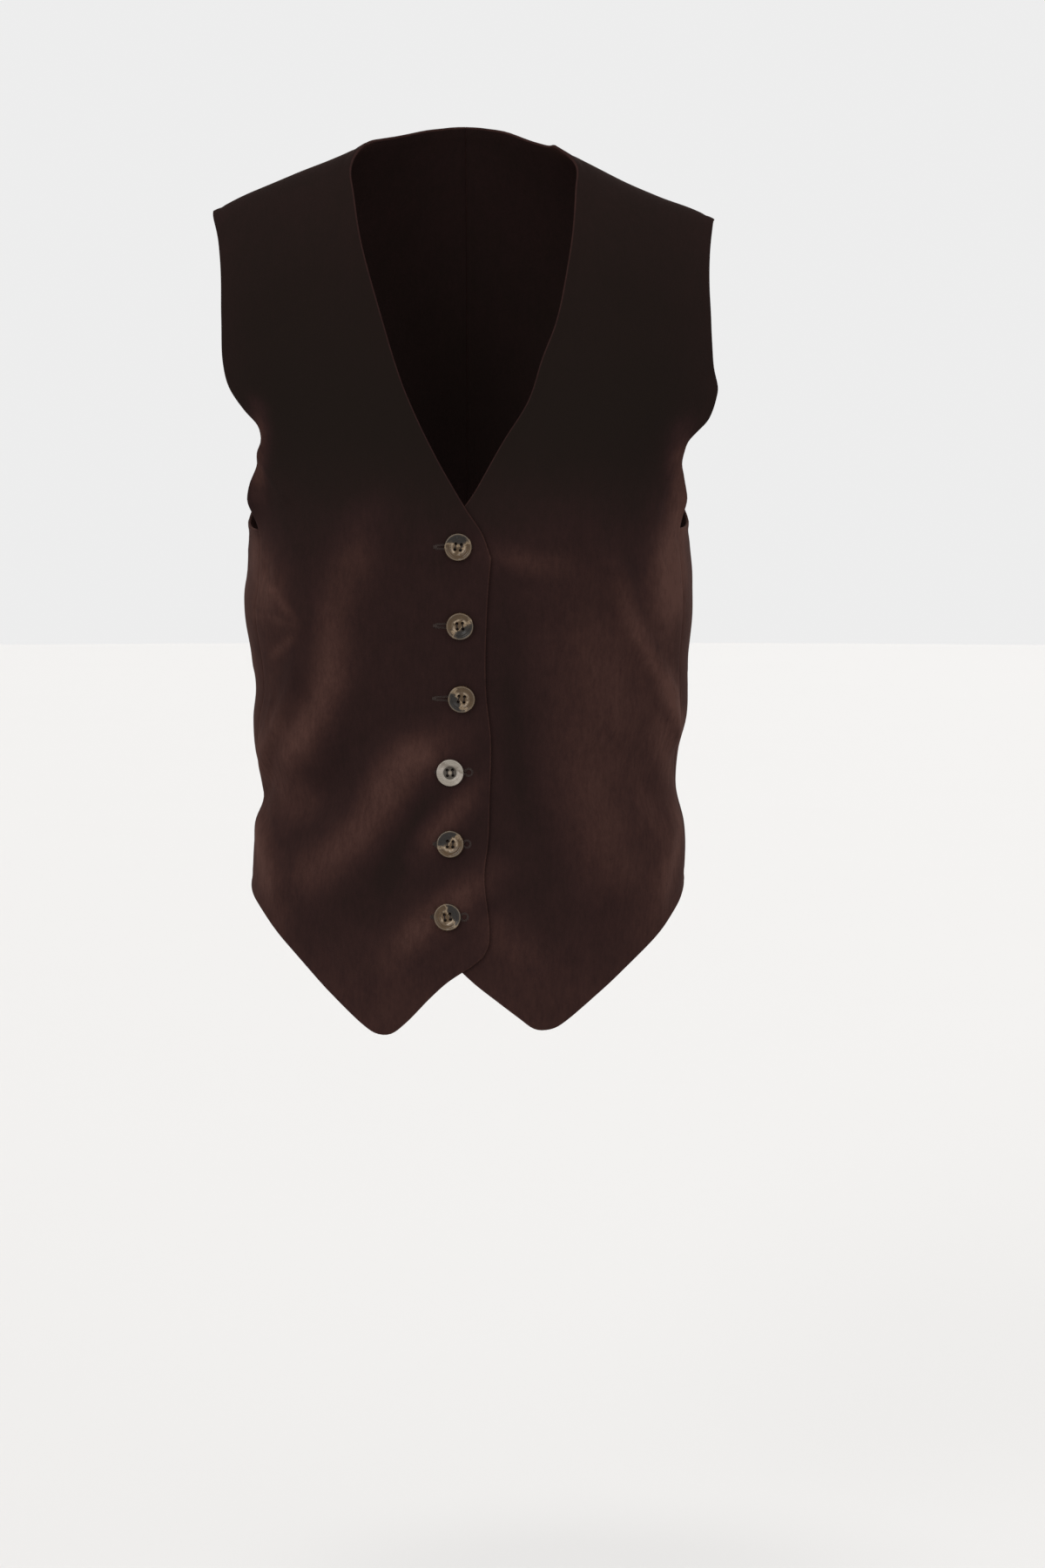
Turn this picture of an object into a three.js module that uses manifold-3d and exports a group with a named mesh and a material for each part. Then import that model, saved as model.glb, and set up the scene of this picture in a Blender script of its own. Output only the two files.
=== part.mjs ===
// Velvet suit waistcoat in its worn, hollow form: two pointed fronts, two half backs and six buttons.
// Millimetres, +Z up. The front faces -Y, and the wearer's right side is -X. The origin lies midway
// between the two points where the shoulder seams meet the neck, at the height of those points.
import * as THREE from 'three';
import { mergeVertices } from 'three/addons/utils/BufferGeometryUtils.js';
import Module from 'manifold-3d';

const wasm = await Module();
wasm.setup();

// Cloth and seams
const CLOTH = 2.0;
const SEAM_GAP = 0.4;
const SHOULDER_SEAM_LEVEL = 0.7 * SEAM_GAP;
const LAP_GAP = 0.6;

// The lap of the fronts: the left front lies one wall lower up to lapEnd and is level again at lapRise
const LAP_END = 22;
const LAP_RISE = 52;

// Grid of each panel
const SEAM_ROWS = 18;
const FRONT_GRID = { neckRows: 21, columns: 19 };
const BACK_GRID = { armholeRows: 10, neckColumns: 4, shoulderColumns: 6, underarmColumns: 8 };

// Level sections of the form: half widths to the wearer's right and left, depths of front and back
const SECTIONS = [
  { z: 60, right: 190, left: 182, front: 50, back: 78 },
  { z: 0, right: 190, left: 182, front: 50, back: 84 },
  { z: -40, right: 188, left: 182, front: 58, back: 91 },
  { z: -80, right: 186, left: 182, front: 68, back: 97 },
  { z: -120, right: 183, left: 181, front: 80, back: 102 },
  { z: -160, right: 175, left: 178, front: 94, back: 105 },
  { z: -195, right: 161, left: 168, front: 108, back: 106 },
  { z: -230, right: 151, left: 156, front: 118, back: 105 },
  { z: -263, right: 148, left: 153.2, front: 124, back: 102 },
  { z: -293, right: 148.5, left: 155.3, front: 123, back: 98.5 },
  { z: -314, right: 151, left: 156, front: 121.5, back: 96.5 },
  { z: -350, right: 145.6, left: 153.6, front: 117, back: 92 },
  { z: -370, right: 143.8, left: 153.6, front: 114, back: 89.5 },
  { z: -390, right: 146, left: 152.6, front: 111, back: 87.5 },
  { z: -412, right: 145, left: 147.5, front: 108, back: 86 },
  { z: -437, right: 137.6, left: 145.4, front: 106, back: 85 },
  { z: -462, right: 143.6, left: 151.2, front: 106.5, back: 88.5 },
  { z: -500, right: 147, left: 151.4, front: 109, back: 96 },
  { z: -560, right: 146, left: 148, front: 112, back: 102 },
  { z: -620, right: 146, left: 146, front: 114, back: 107 },
];
const FRONT_SQUARENESS = 0.8;
const BACK_SQUARENESS = 0.85;

// Height of the shoulder line at each distance out from the centre plane
const SHOULDER_LINE = [
  { out: 0, right: 40, left: 40 },
  { out: 30, right: 28, left: 27 },
  { out: 50, right: 14, left: 10 },
  { out: 65, right: 3.2, left: -2 },
  { out: 77, right: -3.2, left: -8.2 },
  { out: 91, right: -9.4, left: -15 },
  { out: 115, right: -18.7, left: -27 },
  { out: 133, right: -26, left: -34.6 },
  { out: 157, right: -36.6, left: -42.9 },
  { out: 175, right: -45.8, left: -52 },
  { out: 190, right: -54, left: -61 },
];
const SHOULDER_ARCH = { front: 75, back: 120 };
const ARCH_FADE = 120;
const LONGEST_LEVEL = 1000;

// Fullness that the darts give over the bust
const BUST = { out: 80, z: -255, height: 13, width: 46, above: 75, below: 45 };

// Edges as distances out from the centre plane on the panel's own side, from the top down.
// The back neck is given by its drop below the shoulder line.
const NECK_POINT = { right: 65.6, left: 61.5 };
const SHOULDER_POINT = { right: 172, left: 171 };
const NECK_EDGE = {
  right: [
    { out: 75.4, z: -11.7 }, { out: 76.3, z: -21 }, { out: 74.1, z: -33.8 }, { out: 70.6, z: -56.4 },
    { out: 66.3, z: -76.1 }, { out: 59.1, z: -101.9 }, { out: 45.4, z: -147.3 }, { out: 35.3, z: -174.1 },
    { out: 16.6, z: -212.4 }, { out: -2.4, z: -244.9 }, { out: -13, z: -261 }, { out: -19, z: -277.4 },
  ],
  left: [
    { out: 75.6, z: -14 }, { out: 75.3, z: -32.1 }, { out: 73.4, z: -58.7 }, { out: 69.9, z: -82.8 },
    { out: 61.6, z: -122.3 }, { out: 52.1, z: -147.2 }, { out: 43.1, z: -174.1 }, { out: 28.5, z: -197 },
    { out: 6.9, z: -234.7 }, { out: -6, z: -252 }, { out: -18, z: -268 }, { out: -24, z: -285 },
  ],
};
const PLACKET_EDGE = {
  right: [
    { out: -16.5, z: -308 }, { out: -15.5, z: -365 }, { out: -18.8, z: -405 }, { out: -17, z: -464 },
    { out: -14.3, z: -490 }, { out: -17.6, z: -524 }, { out: -17, z: -536 }, { out: -13.5, z: -543.4 },
  ],
  left: [
    { out: -25, z: -310 }, { out: -25, z: -400 }, { out: -25, z: -490 }, { out: -24.5, z: -528 },
    { out: -19.5, z: -539 },
  ],
};
const HEM_EDGE = {
  right: [
    { out: -6.8, z: -549 }, { out: 10.3, z: -560.3 }, { out: 22, z: -570.9 }, { out: 37.4, z: -586.9 },
    { out: 47.1, z: -594.8 }, { out: 52.6, z: -596.3 }, { out: 59.4, z: -595.2 }, { out: 65.9, z: -591.2 },
    { out: 89, z: -570.4 }, { out: 106.5, z: -553 }, { out: 121.9, z: -537.5 }, { out: 138.7, z: -518.5 },
  ],
  left: [
    { out: -12, z: -544 }, { out: 8.8, z: -562.6 }, { out: 19.3, z: -570.8 }, { out: 37.9, z: -585.1 },
    { out: 46.9, z: -591.8 }, { out: 52.7, z: -593.2 }, { out: 59.4, z: -592.5 }, { out: 64.1, z: -590.7 },
    { out: 90.9, z: -569.9 }, { out: 111.8, z: -552 }, { out: 130, z: -535.3 }, { out: 142.2, z: -521.2 },
  ],
};

// Armholes and side seams as angles round the form, 0 at the centre front and 180 at the centre back
const FRONT_ARMHOLE = {
  right: [
    { angle: 65.9, z: -49.2 }, { angle: 63.2, z: -67 }, { angle: 62.5, z: -91 }, { angle: 63.2, z: -115 },
    { angle: 66.2, z: -147 }, { angle: 66.2, z: -166 }, { angle: 62.4, z: -180 }, { angle: 58, z: -191 },
    { angle: 57.4, z: -200 }, { angle: 60.6, z: -209 }, { angle: 65, z: -221 }, { angle: 68, z: -235 },
    { angle: 68.9, z: -248 }, { angle: 68.6, z: -260.2 },
  ],
  left: [
    { angle: 68.4, z: -56 }, { angle: 66.6, z: -76 }, { angle: 66.4, z: -98 }, { angle: 68, z: -124 },
    { angle: 70, z: -150 }, { angle: 71.2, z: -170 }, { angle: 70.2, z: -184 }, { angle: 67.4, z: -195 },
    { angle: 64, z: -204 }, { angle: 64.6, z: -213 }, { angle: 67.6, z: -223 }, { angle: 70.4, z: -236 },
    { angle: 71.8, z: -248 }, { angle: 71.9, z: -259.2 },
  ],
};
const BACK_ARMHOLE = [
  { angle: 119, z: -68 }, { angle: 123, z: -100 }, { angle: 125, z: -135 }, { angle: 124.6, z: -168 },
  { angle: 122, z: -194 }, { angle: 116.5, z: -215 },
];
const BACK_UNDERARM = [
  { angle: 116.5, z: -215 }, { angle: 107, z: -236 }, { angle: 95, z: -250 }, { angle: 82, z: -257.5 },
];
const CENTRE_BACK_AT_UNDERARM = -196;
const SIDE_SEAM = {
  right: [
    { angle: 68.6, z: -260.2 }, { angle: 69, z: -310 }, { angle: 71, z: -370 }, { angle: 76, z: -410 },
    { angle: 83, z: -437 }, { angle: 85, z: -475 }, { angle: 87.5, z: -504 },
  ],
  left: [
    { angle: 71.9, z: -259.2 }, { angle: 72, z: -310 }, { angle: 73, z: -370 }, { angle: 77, z: -410 },
    { angle: 83, z: -437 }, { angle: 85, z: -475 }, { angle: 87.5, z: -504 },
  ],
};
const BACK_NECK = [
  { out: 0, drop: 22 }, { out: 18, drop: 19.5 }, { out: 34, drop: 13.5 }, { out: 48, drop: 7 },
  { out: 57, drop: 2.6 },
];
const BACK_HEM = [{ angle: 110, z: -507 }, { angle: 140, z: -511 }, { angle: 160, z: -513 }];
const CENTRE_BACK_HEM = -514;

// Large folds of the worn cloth: paths in [angle, z], negative angles on the wearer's right.
// A positive height is a ridge and a negative one a trough.
const FOLDS = [
  { path: [[-27, -271], [-38, -359], [-55, -417]], width: 20, height: 2.2 },
  { path: [[-50, -352], [-59, -392], [-70, -416], [-82, -434]], width: 9, height: 3.2 },
  { path: [[-57, -288], [-59, -300], [-49, -325]], width: 9, height: 2.2 },
  { path: [[-60, -205], [-53, -235]], width: 9, height: 2.4 },
  { path: [[-71, -229], [-71, -238]], width: 14, height: 8.5 },
  { path: [[-11, -359], [-27, -398], [-47, -449]], width: 17, height: -2.6 },
  { path: [[-8, -404], [-25, -422], [-35, -479]], width: 15, height: 2.2 },
  { path: [[-3, -432], [-15, -444], [-21, -478], [-25, -522]], width: 13, height: -2.6 },
  { path: [[-80, -461], [-66, -481], [-58, -500]], width: 12, height: 2.2 },
  { path: [[62, -207], [57, -237], [56, -248]], width: 9, height: 2.4 },
  { path: [[73, -222], [73, -236]], width: 14, height: 6 },
  { path: [[73, -168], [72, -186]], width: 13, height: 6.5 },
  { path: [[43, -289], [45, -318], [58, -358], [72, -399]], width: 10, height: 3.4 },
  { path: [[11, -297], [12, -360], [17, -447], [35, -502]], width: 16, height: -2.6 },
  { path: [[37, -440], [43, -490]], width: 20, height: 2.2 },
  { path: [[66, -470], [60, -514]], width: 12, height: 2.2 },
  { path: [[-96, -300], [-118, -352], [-150, -398]], width: 14, height: 3 },
  { path: [[98, -292], [116, -345], [142, -385]], width: 14, height: 3 },
  { path: [[-92, -410], [-125, -428], [-160, -432]], width: 13, height: -3 },
  { path: [[92, -405], [130, -425], [158, -436]], width: 13, height: -3 },
  { path: [[-128, -210], [-146, -250], [-158, -300]], width: 16, height: -2.4 },
  { path: [[127, -214], [148, -262], [156, -306]], width: 16, height: -2.4 },
];
const MM_PER_DEGREE = 2.3;
// Half widths, in degrees, of the flat lap at the centre front and of the flat seam at the centre back
const FLAT_LAP = { from: 9, to: 18 };
const FLAT_CENTRE_BACK = { from: 171, to: 162 };

// Four-hole buttons, 28 line, and the keyhole buttonholes: button is the button's centre along X,
// tail is the hole's blunt end, and the eye's centre lies HOLE.length further towards the placket edge
const BUTTON_ROWS = [
  { z: -270, button: -2.8, tail: -17.3 },
  { z: -322, button: -1.7, tail: -17.6 },
  { z: -370.5, button: -0.8, tail: -18.4 },
  { z: -420, button: -8.5, tail: -17.2 },
  { z: -468, button: -8.5, tail: -18.5 },
  { z: -516.5, button: -10.3, tail: -20.2 },
];
const BUTTON = { seat: 0.6, sides: 24, holeRadius: 0.85, holeOffset: 1.75, holeSides: 6, drill: 12 };
const BUTTON_PROFILE = [
  { r: 0, h: 0 }, { r: 7.4, h: 0 }, { r: 9, h: 1.5 }, { r: 8.6, h: 2.9 }, { r: 7.9, h: 2.9 },
  { r: 6.0, h: 2.4 }, { r: 4.6, h: 1.8 }, { r: 0, h: 1.6 },
];
const HOLE = {
  length: 21, eyeRadius: 1.6, halfWidth: 0.45, halfWidthAtShank: 1.5, spread: 4, reach: 9, stations: 8,
};
const SHANK = { radius: 1.1, gap: 0.3, sides: 8 };

// Colours of the cloth and the horn
const VELVET = { right: '#2f1c19', left: '#2d1b18', back: '#291815' };
const HORN = '#6b5a45';
const THREAD = '#1e1512';

const RADIANS = Math.PI / 180;
const SIGN = { right: -1, left: 1 };

// Smooth curve through the named columns of a table, as a function of its key column
function tableCurve(rows, key, value) {
  const sorted = [...rows].sort((a, b) => a[key] - b[key]);
  const xs = sorted.map((row) => row[key]);
  const ys = sorted.map((row) => row[value]);
  const spans = xs.slice(1).map((x, i) => x - xs[i]);
  const slopes = spans.map((span, i) => (ys[i + 1] - ys[i]) / span);
  const tangents = ys.map((_, i) => {
    if (i === 0) return slopes[0];
    if (i === ys.length - 1) return slopes[i - 1];
    return (slopes[i - 1] * spans[i] + slopes[i] * spans[i - 1]) / (spans[i] + spans[i - 1]);
  });
  return (wanted) => {
    const x = THREE.MathUtils.clamp(wanted, xs[0], xs[xs.length - 1]);
    let i = 0;
    while (i < spans.length - 1 && x > xs[i + 1]) i++;
    const t = (x - xs[i]) / spans[i];
    const start = (2 * t ** 3 - 3 * t ** 2 + 1) * ys[i] + (t ** 3 - 2 * t ** 2 + t) * spans[i] * tangents[i];
    const end = (3 * t ** 2 - 2 * t ** 3) * ys[i + 1] + (t ** 3 - t ** 2) * spans[i] * tangents[i + 1];
    return start + end;
  };
}

const halfWidth = { right: tableCurve(SECTIONS, 'z', 'right'), left: tableCurve(SECTIONS, 'z', 'left') };
const frontDepth = tableCurve(SECTIONS, 'z', 'front');
const backDepth = tableCurve(SECTIONS, 'z', 'back');
const shoulderHeight = {
  right: tableCurve(SHOULDER_LINE, 'out', 'right'),
  left: tableCurve(SHOULDER_LINE, 'out', 'left'),
};

const sideOf = (signed) => (signed < 0 ? 'right' : 'left');

// A level is the length down the cloth from the shoulder line: over the shoulder's arch, then straight
// down. The shoulder line's slope fades out of the rows below the arch.
function dropAt(level, arch) {
  const archEnd = arch * Math.PI / 2;
  return level < archEnd ? arch * (1 - Math.cos(level / arch)) : level - archEnd + arch;
}

function heightAt(side, out, level, arch) {
  const fade = 1 - THREE.MathUtils.smoothstep(level - arch * Math.PI / 2, 0, ARCH_FADE);
  return shoulderHeight[side](Math.abs(out)) * fade - dropAt(level, arch);
}

function levelAt(side, out, z, arch) {
  let low = 0;
  let high = LONGEST_LEVEL;
  while (high - low > 1e-6) {
    const middle = (low + high) / 2;
    if (heightAt(side, out, middle, arch) > z) low = middle;
    else high = middle;
  }
  return low;
}

// Bare form at a signed angle and a level, before folds and laps
function formPoint(angle, level, arch) {
  const side = sideOf(angle);
  const sine = Math.sin(angle * RADIANS);
  const cosine = Math.cos(angle * RADIANS);
  let z = -dropAt(level, arch);
  let x = 0;
  for (let pass = 0; pass < 6; pass++) {
    x = halfWidth[side](z) * sine;
    z = heightAt(side, x, level, arch);
  }
  const rise = Math.sin(Math.min(level / arch, Math.PI / 2));
  if (cosine < 0) return new THREE.Vector3(x, backDepth(z) * (-cosine) ** BACK_SQUARENESS * rise, z);
  const across = ((Math.abs(x) - BUST.out) / BUST.width) ** 2;
  const along = ((z - BUST.z) / (z > BUST.z ? BUST.above : BUST.below)) ** 2;
  const bust = BUST.height * Math.exp(-across - along) * Math.sqrt(cosine);
  return new THREE.Vector3(x, -frontDepth(z) * cosine ** FRONT_SQUARENESS * rise - bust, z);
}

function formNormal(angle, level, arch) {
  const step = 0.5;
  const lower = Math.max(level - step, 0);
  const round = formPoint(angle + step, level, arch).sub(formPoint(angle - step, level, arch));
  const down = formPoint(angle, level + step, arch).sub(formPoint(angle, lower, arch));
  return down.cross(round).normalize();
}

function distanceToPath(path, angle, z) {
  const point = new THREE.Vector3(angle * MM_PER_DEGREE, z, 0);
  const nearest = new THREE.Vector3();
  let distance = Infinity;
  for (let i = 0; i < path.length - 1; i++) {
    const start = new THREE.Vector3(path[i][0] * MM_PER_DEGREE, path[i][1], 0);
    const end = new THREE.Vector3(path[i + 1][0] * MM_PER_DEGREE, path[i + 1][1], 0);
    new THREE.Line3(start, end).closestPointToPoint(point, true, nearest);
    distance = Math.min(distance, nearest.distanceTo(point));
  }
  return distance;
}

function foldRelief(angle, z) {
  const turned = Math.abs(angle);
  const atFront = THREE.MathUtils.smoothstep(turned, FLAT_LAP.from, FLAT_LAP.to);
  const atBack = 1 - THREE.MathUtils.smoothstep(turned, FLAT_CENTRE_BACK.to, FLAT_CENTRE_BACK.from);
  const relief = FOLDS.reduce((sum, fold) => {
    const distance = distanceToPath(fold.path, angle, z);
    return sum + fold.height * Math.exp(-((distance / fold.width) ** 2));
  }, 0);
  return relief * atFront * atBack;
}

// Depth by which the left front lies under the right front at a place along X
const lapDepth = (x) => (CLOTH + LAP_GAP) * (1 - THREE.MathUtils.smoothstep(x, LAP_END, LAP_RISE));

// Outer and inner points of a wall at one place of the pattern
function wallPoints(place, arch, laps) {
  const base = formPoint(place.angle, place.level, arch);
  const normal = formNormal(place.angle, place.level, arch);
  const relief = foldRelief(place.angle, base.z) - (laps ? lapDepth(base.x) : 0);
  const outer = base.clone().addScaledVector(normal, relief);
  return { outer, inner: outer.clone().addScaledVector(normal, -CLOTH) };
}

// Evenly spaced places along a smooth edge through the given places
function edgePlaces(places, count) {
  const points = places.map((place) => new THREE.Vector3(place.angle * MM_PER_DEGREE, place.level, 0));
  const curve = new THREE.CatmullRomCurve3(points, false, 'centripetal');
  curve.arcLengthDivisions = 600;
  return curve.getSpacedPoints(count).map((p) => ({ angle: p.x / MM_PER_DEGREE, level: p.y }));
}

const joinEdges = (first, second) => [...first, ...second.slice(1)];

// Place of a point of the front or the back given by its distance out on its own side
function placeFromOut(side, row, face) {
  const x = SIGN[side] * row.out;
  const near = Math.asin(x / halfWidth[sideOf(x)](row.z)) / RADIANS;
  const angle = face === 'front' ? near : SIGN[side] * 180 - near;
  return { angle, level: levelAt(sideOf(x), x, row.z, SHOULDER_ARCH[face]) };
}

function placeFromAngle(side, row, face, shift = 0) {
  const out = halfWidth[side](row.z) * Math.sin(row.angle * RADIANS);
  const angle = SIGN[side] * (row.angle + shift);
  return { angle, level: levelAt(side, out, row.z, SHOULDER_ARCH[face]) };
}

// Place on the shoulder seam, half a seam gap below the shoulder line
function shoulderPlace(side, out, face) {
  const z = shoulderHeight[side](out);
  const near = Math.asin(out / halfWidth[side](z)) / RADIANS;
  return { angle: SIGN[side] * (face === 'front' ? near : 180 - near), level: SHOULDER_SEAM_LEVEL };
}

// Patch between four edges that share their corners: straight rows from the inner to the outer edge,
// which take on the bow of the top and bottom edges as they near them
function patch(top, bottom, inner, outer) {
  const rows = inner.length - 1;
  const columns = top.length - 1;
  const chord = (edge, j, key) => THREE.MathUtils.lerp(edge[0][key], edge[columns][key], j / columns);
  const bow = (edge, j, key) => edge[j][key] - chord(edge, j, key);
  const blend = (i, j, key) => {
    const s = i / rows;
    const straight = THREE.MathUtils.lerp(inner[i][key], outer[i][key], j / columns);
    return straight + (1 - s) ** 3 * bow(top, j, key) + s ** 3 * bow(bottom, j, key);
  };
  const place = (i, j) => ({ angle: blend(i, j, 'angle'), level: blend(i, j, 'level') });
  return inner.map((_, i) => top.map((__, j) => place(i, j)));
}

// Closed wall over patches that share their edges: outer face, inner face and the turned edge all round
function wallGeometry(patches, arch, laps) {
  const corners = new Map();
  const places = [];
  const indexOf = (place) => {
    const key = `${place.angle.toFixed(6)} ${place.level.toFixed(6)}`;
    if (!corners.has(key)) corners.set(key, places.push(place) - 1);
    return corners.get(key);
  };
  const sheet = [];
  for (const grid of patches) {
    for (let i = 0; i < grid.length - 1; i++) {
      for (let j = 0; j < grid[i].length - 1; j++) {
        const [a, b] = [indexOf(grid[i][j]), indexOf(grid[i + 1][j])];
        const [c, d] = [indexOf(grid[i + 1][j + 1]), indexOf(grid[i][j + 1])];
        sheet.push([a, b, c], [a, c, d]);
      }
    }
  }
  const walls = places.map((place) => wallPoints(place, arch, laps));
  const positions = ['outer', 'inner'].flatMap((face) => walls.flatMap((wall) => wall[face].toArray()));
  const inside = (index) => index + places.length;
  const directed = sheet.flatMap(([a, b, c]) => [[a, b], [b, c], [c, a]]);
  const used = new Set(directed.map(([a, b]) => `${a} ${b}`));
  const rim = directed.filter(([a, b]) => !used.has(`${b} ${a}`));
  const faces = [
    ...sheet,
    ...sheet.map(([a, b, c]) => [inside(a), inside(c), inside(b)]),
    ...rim.flatMap(([a, b]) => [[b, a, inside(a)], [b, inside(a), inside(b)]]),
  ];
  return closedGeometry(positions, faces);
}

// Indexed geometry with its faces turned outwards
function closedGeometry(positions, faces) {
  const corner = (index) => new THREE.Vector3().fromArray(positions, index * 3);
  const volume = faces.reduce((sum, [a, b, c]) => sum + corner(a).dot(corner(b).cross(corner(c))), 0);
  const turned = volume < 0 ? faces.map(([a, b, c]) => [a, c, b]) : faces;
  const geometry = new THREE.BufferGeometry();
  geometry.setAttribute('position', new THREE.Float32BufferAttribute(positions, 3));
  geometry.setIndex(turned.flat());
  return geometry;
}

function toSolid(geometry) {
  const bare = geometry.clone();
  bare.deleteAttribute('normal');
  bare.deleteAttribute('uv');
  const merged = mergeVertices(bare, 1e-5);
  const vertProperties = merged.attributes.position.array;
  const triVerts = new Uint32Array(merged.index.array);
  return new wasm.Manifold(new wasm.Mesh({ numProp: 3, vertProperties, triVerts }));
}

function toGeometry(solid) {
  const { vertProperties, triVerts } = solid.getMesh();
  const geometry = new THREE.BufferGeometry();
  geometry.setAttribute('position', new THREE.BufferAttribute(vertProperties, 3));
  geometry.setIndex(new THREE.BufferAttribute(triVerts, 1));
  geometry.computeVertexNormals();
  return geometry;
}

function frontPatches(side) {
  const onOut = (row) => placeFromOut(side, row, 'front');
  const neckTop = shoulderPlace(side, NECK_POINT[side], 'front');
  const shoulderTip = shoulderPlace(side, SHOULDER_POINT[side], 'front');
  const neck = [neckTop, ...NECK_EDGE[side].map(onOut)];
  const placket = [neck[neck.length - 1], ...PLACKET_EDGE[side].map(onOut)];
  const armhole = [shoulderTip, ...FRONT_ARMHOLE[side].map((row) => placeFromAngle(side, row, 'front'))];
  const gap = -SEAM_GAP / 2 / MM_PER_DEGREE;
  const seam = SIDE_SEAM[side].map((row) => placeFromAngle(side, row, 'front', gap));
  armhole[armhole.length - 1] = seam[0];
  const hem = [placket[placket.length - 1], ...HEM_EDGE[side].map(onOut), seam[seam.length - 1]];
  const shoulder = [neckTop, shoulderTip];
  const { neckRows, columns } = FRONT_GRID;
  const inner = joinEdges(edgePlaces(neck, neckRows), edgePlaces(placket, SEAM_ROWS));
  const outer = joinEdges(edgePlaces(armhole, neckRows), edgePlaces(seam, SEAM_ROWS));
  return [patch(edgePlaces(shoulder, columns), edgePlaces(hem, columns), inner, outer)];
}

// The back is one patch above the underarm row and one below it, which reaches on under the arm
function backPatches(side) {
  const gap = SEAM_GAP / 2 / MM_PER_DEGREE;
  const centrePlace = (z) => ({
    angle: SIGN[side] * (180 - gap),
    level: levelAt(side, 0, z, SHOULDER_ARCH.back),
  });
  const onAngle = (row) => placeFromAngle(side, row, 'back');
  const neck = BACK_NECK.map(({ out, drop }) => {
    const z = shoulderHeight[side](out) - drop;
    return out === 0 ? centrePlace(z) : placeFromOut(side, { out, z }, 'back');
  });
  const neckTop = shoulderPlace(side, NECK_POINT[side], 'back');
  const shoulderTip = shoulderPlace(side, SHOULDER_POINT[side], 'back');
  const seam = SIDE_SEAM[side].map((row) => placeFromAngle(side, row, 'back', gap));
  const armhole = [shoulderTip, ...BACK_ARMHOLE.map(onAngle)];
  const underarm = [...BACK_UNDERARM.map(onAngle), seam[0]];
  const centreAtUnderarm = centrePlace(CENTRE_BACK_AT_UNDERARM);
  const centreHem = centrePlace(CENTRE_BACK_HEM);
  const hem = [centreHem, ...BACK_HEM.map(onAngle).reverse(), seam[seam.length - 1]];

  const { armholeRows, neckColumns, shoulderColumns, underarmColumns } = BACK_GRID;
  const upperColumns = neckColumns + shoulderColumns;
  const shoulder = edgePlaces([neckTop, shoulderTip], shoulderColumns);
  const top = joinEdges(edgePlaces([...neck, neckTop], neckColumns), shoulder);
  const middle = edgePlaces([centreAtUnderarm, underarm[0]], upperColumns);
  const upper = patch(
    top,
    middle,
    edgePlaces([neck[0], centreAtUnderarm], armholeRows),
    edgePlaces(armhole, armholeRows),
  );
  const lower = patch(
    joinEdges(middle, edgePlaces(underarm, underarmColumns)),
    edgePlaces(hem, upperColumns + underarmColumns),
    edgePlaces([centreAtUnderarm, centreHem], SEAM_ROWS),
    edgePlaces(seam, SEAM_ROWS),
  );
  return [upper, lower];
}

// Axes on the outer face at a point of the centre front: X along the buttonhole, Z out of the cloth
function placketFrame(x, z) {
  const arch = SHOULDER_ARCH.front;
  const side = sideOf(x);
  const angle = Math.asin(x / halfWidth[side](z)) / RADIANS;
  const level = levelAt(side, x, z, arch);
  const normal = formNormal(angle, level, arch);
  const point = formPoint(angle, level, arch).addScaledVector(normal, foldRelief(angle, z));
  const across = new THREE.Vector3(1, 0, 0).addScaledVector(normal, -normal.x).normalize();
  const up = new THREE.Vector3().crossVectors(normal, across);
  const basis = new THREE.Matrix4().makeBasis(across, up, normal);
  return { point, normal, turn: new THREE.Quaternion().setFromRotationMatrix(basis) };
}

// Keyhole outline: a slit that opens round the shank, ending in a round eye
function buttonholeCutter(row) {
  const middle = row.tail + HOLE.length / 2;
  const frame = placketFrame(middle, row.z);
  const shank = row.button - middle;
  const tail = row.tail - middle;
  const eye = tail + HOLE.length;
  const neckAngle = Math.asin(HOLE.halfWidth / HOLE.eyeRadius);
  const halfOpening = (t) => HOLE.halfWidth
    + (HOLE.halfWidthAtShank - HOLE.halfWidth) * Math.exp(-(((t - shank) / HOLE.spread) ** 2));
  const { stations } = HOLE;
  const slitEnd = eye - HOLE.eyeRadius * Math.cos(neckAngle);
  const slit = Array.from({ length: stations }, (_, i) => tail + (slitEnd - tail) * (i / stations));
  const lower = slit.map((t) => new THREE.Vector2(t, -halfOpening(t)));
  const upper = slit.map((t) => new THREE.Vector2(t, halfOpening(t))).reverse();
  const eyePoints = Array.from({ length: stations + 1 }, (_, i) => {
    const angle = -Math.PI + neckAngle + (2 * Math.PI - 2 * neckAngle) * (i / stations);
    return new THREE.Vector2(eye + HOLE.eyeRadius * Math.cos(angle), HOLE.eyeRadius * Math.sin(angle));
  });
  const outline = new THREE.Shape([...lower, ...eyePoints, ...upper]);
  const geometry = new THREE.ExtrudeGeometry(outline, { depth: HOLE.reach, bevelEnabled: false, steps: 1 });
  geometry.translate(0, 0, -HOLE.reach / 2);
  geometry.applyQuaternion(frame.turn);
  geometry.translate(...frame.point.toArray());
  return toSolid(geometry);
}

function buttonGeometry() {
  const profile = BUTTON_PROFILE.map(({ r, h }) => new THREE.Vector2(r, h));
  const disc = new THREE.LatheGeometry(profile, BUTTON.sides).rotateX(Math.PI / 2);
  let solid = toSolid(disc);
  for (const [x, y] of [[-1, -1], [1, -1], [1, 1], [-1, 1]]) {
    const { holeRadius, holeOffset, holeSides } = BUTTON;
    const drill = new THREE.CylinderGeometry(holeRadius, holeRadius, BUTTON.drill, holeSides);
    drill.rotateX(Math.PI / 2);
    drill.translate(x * holeOffset, y * holeOffset, 0);
    solid = solid.subtract(toSolid(drill));
  }
  return toGeometry(solid);
}

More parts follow.
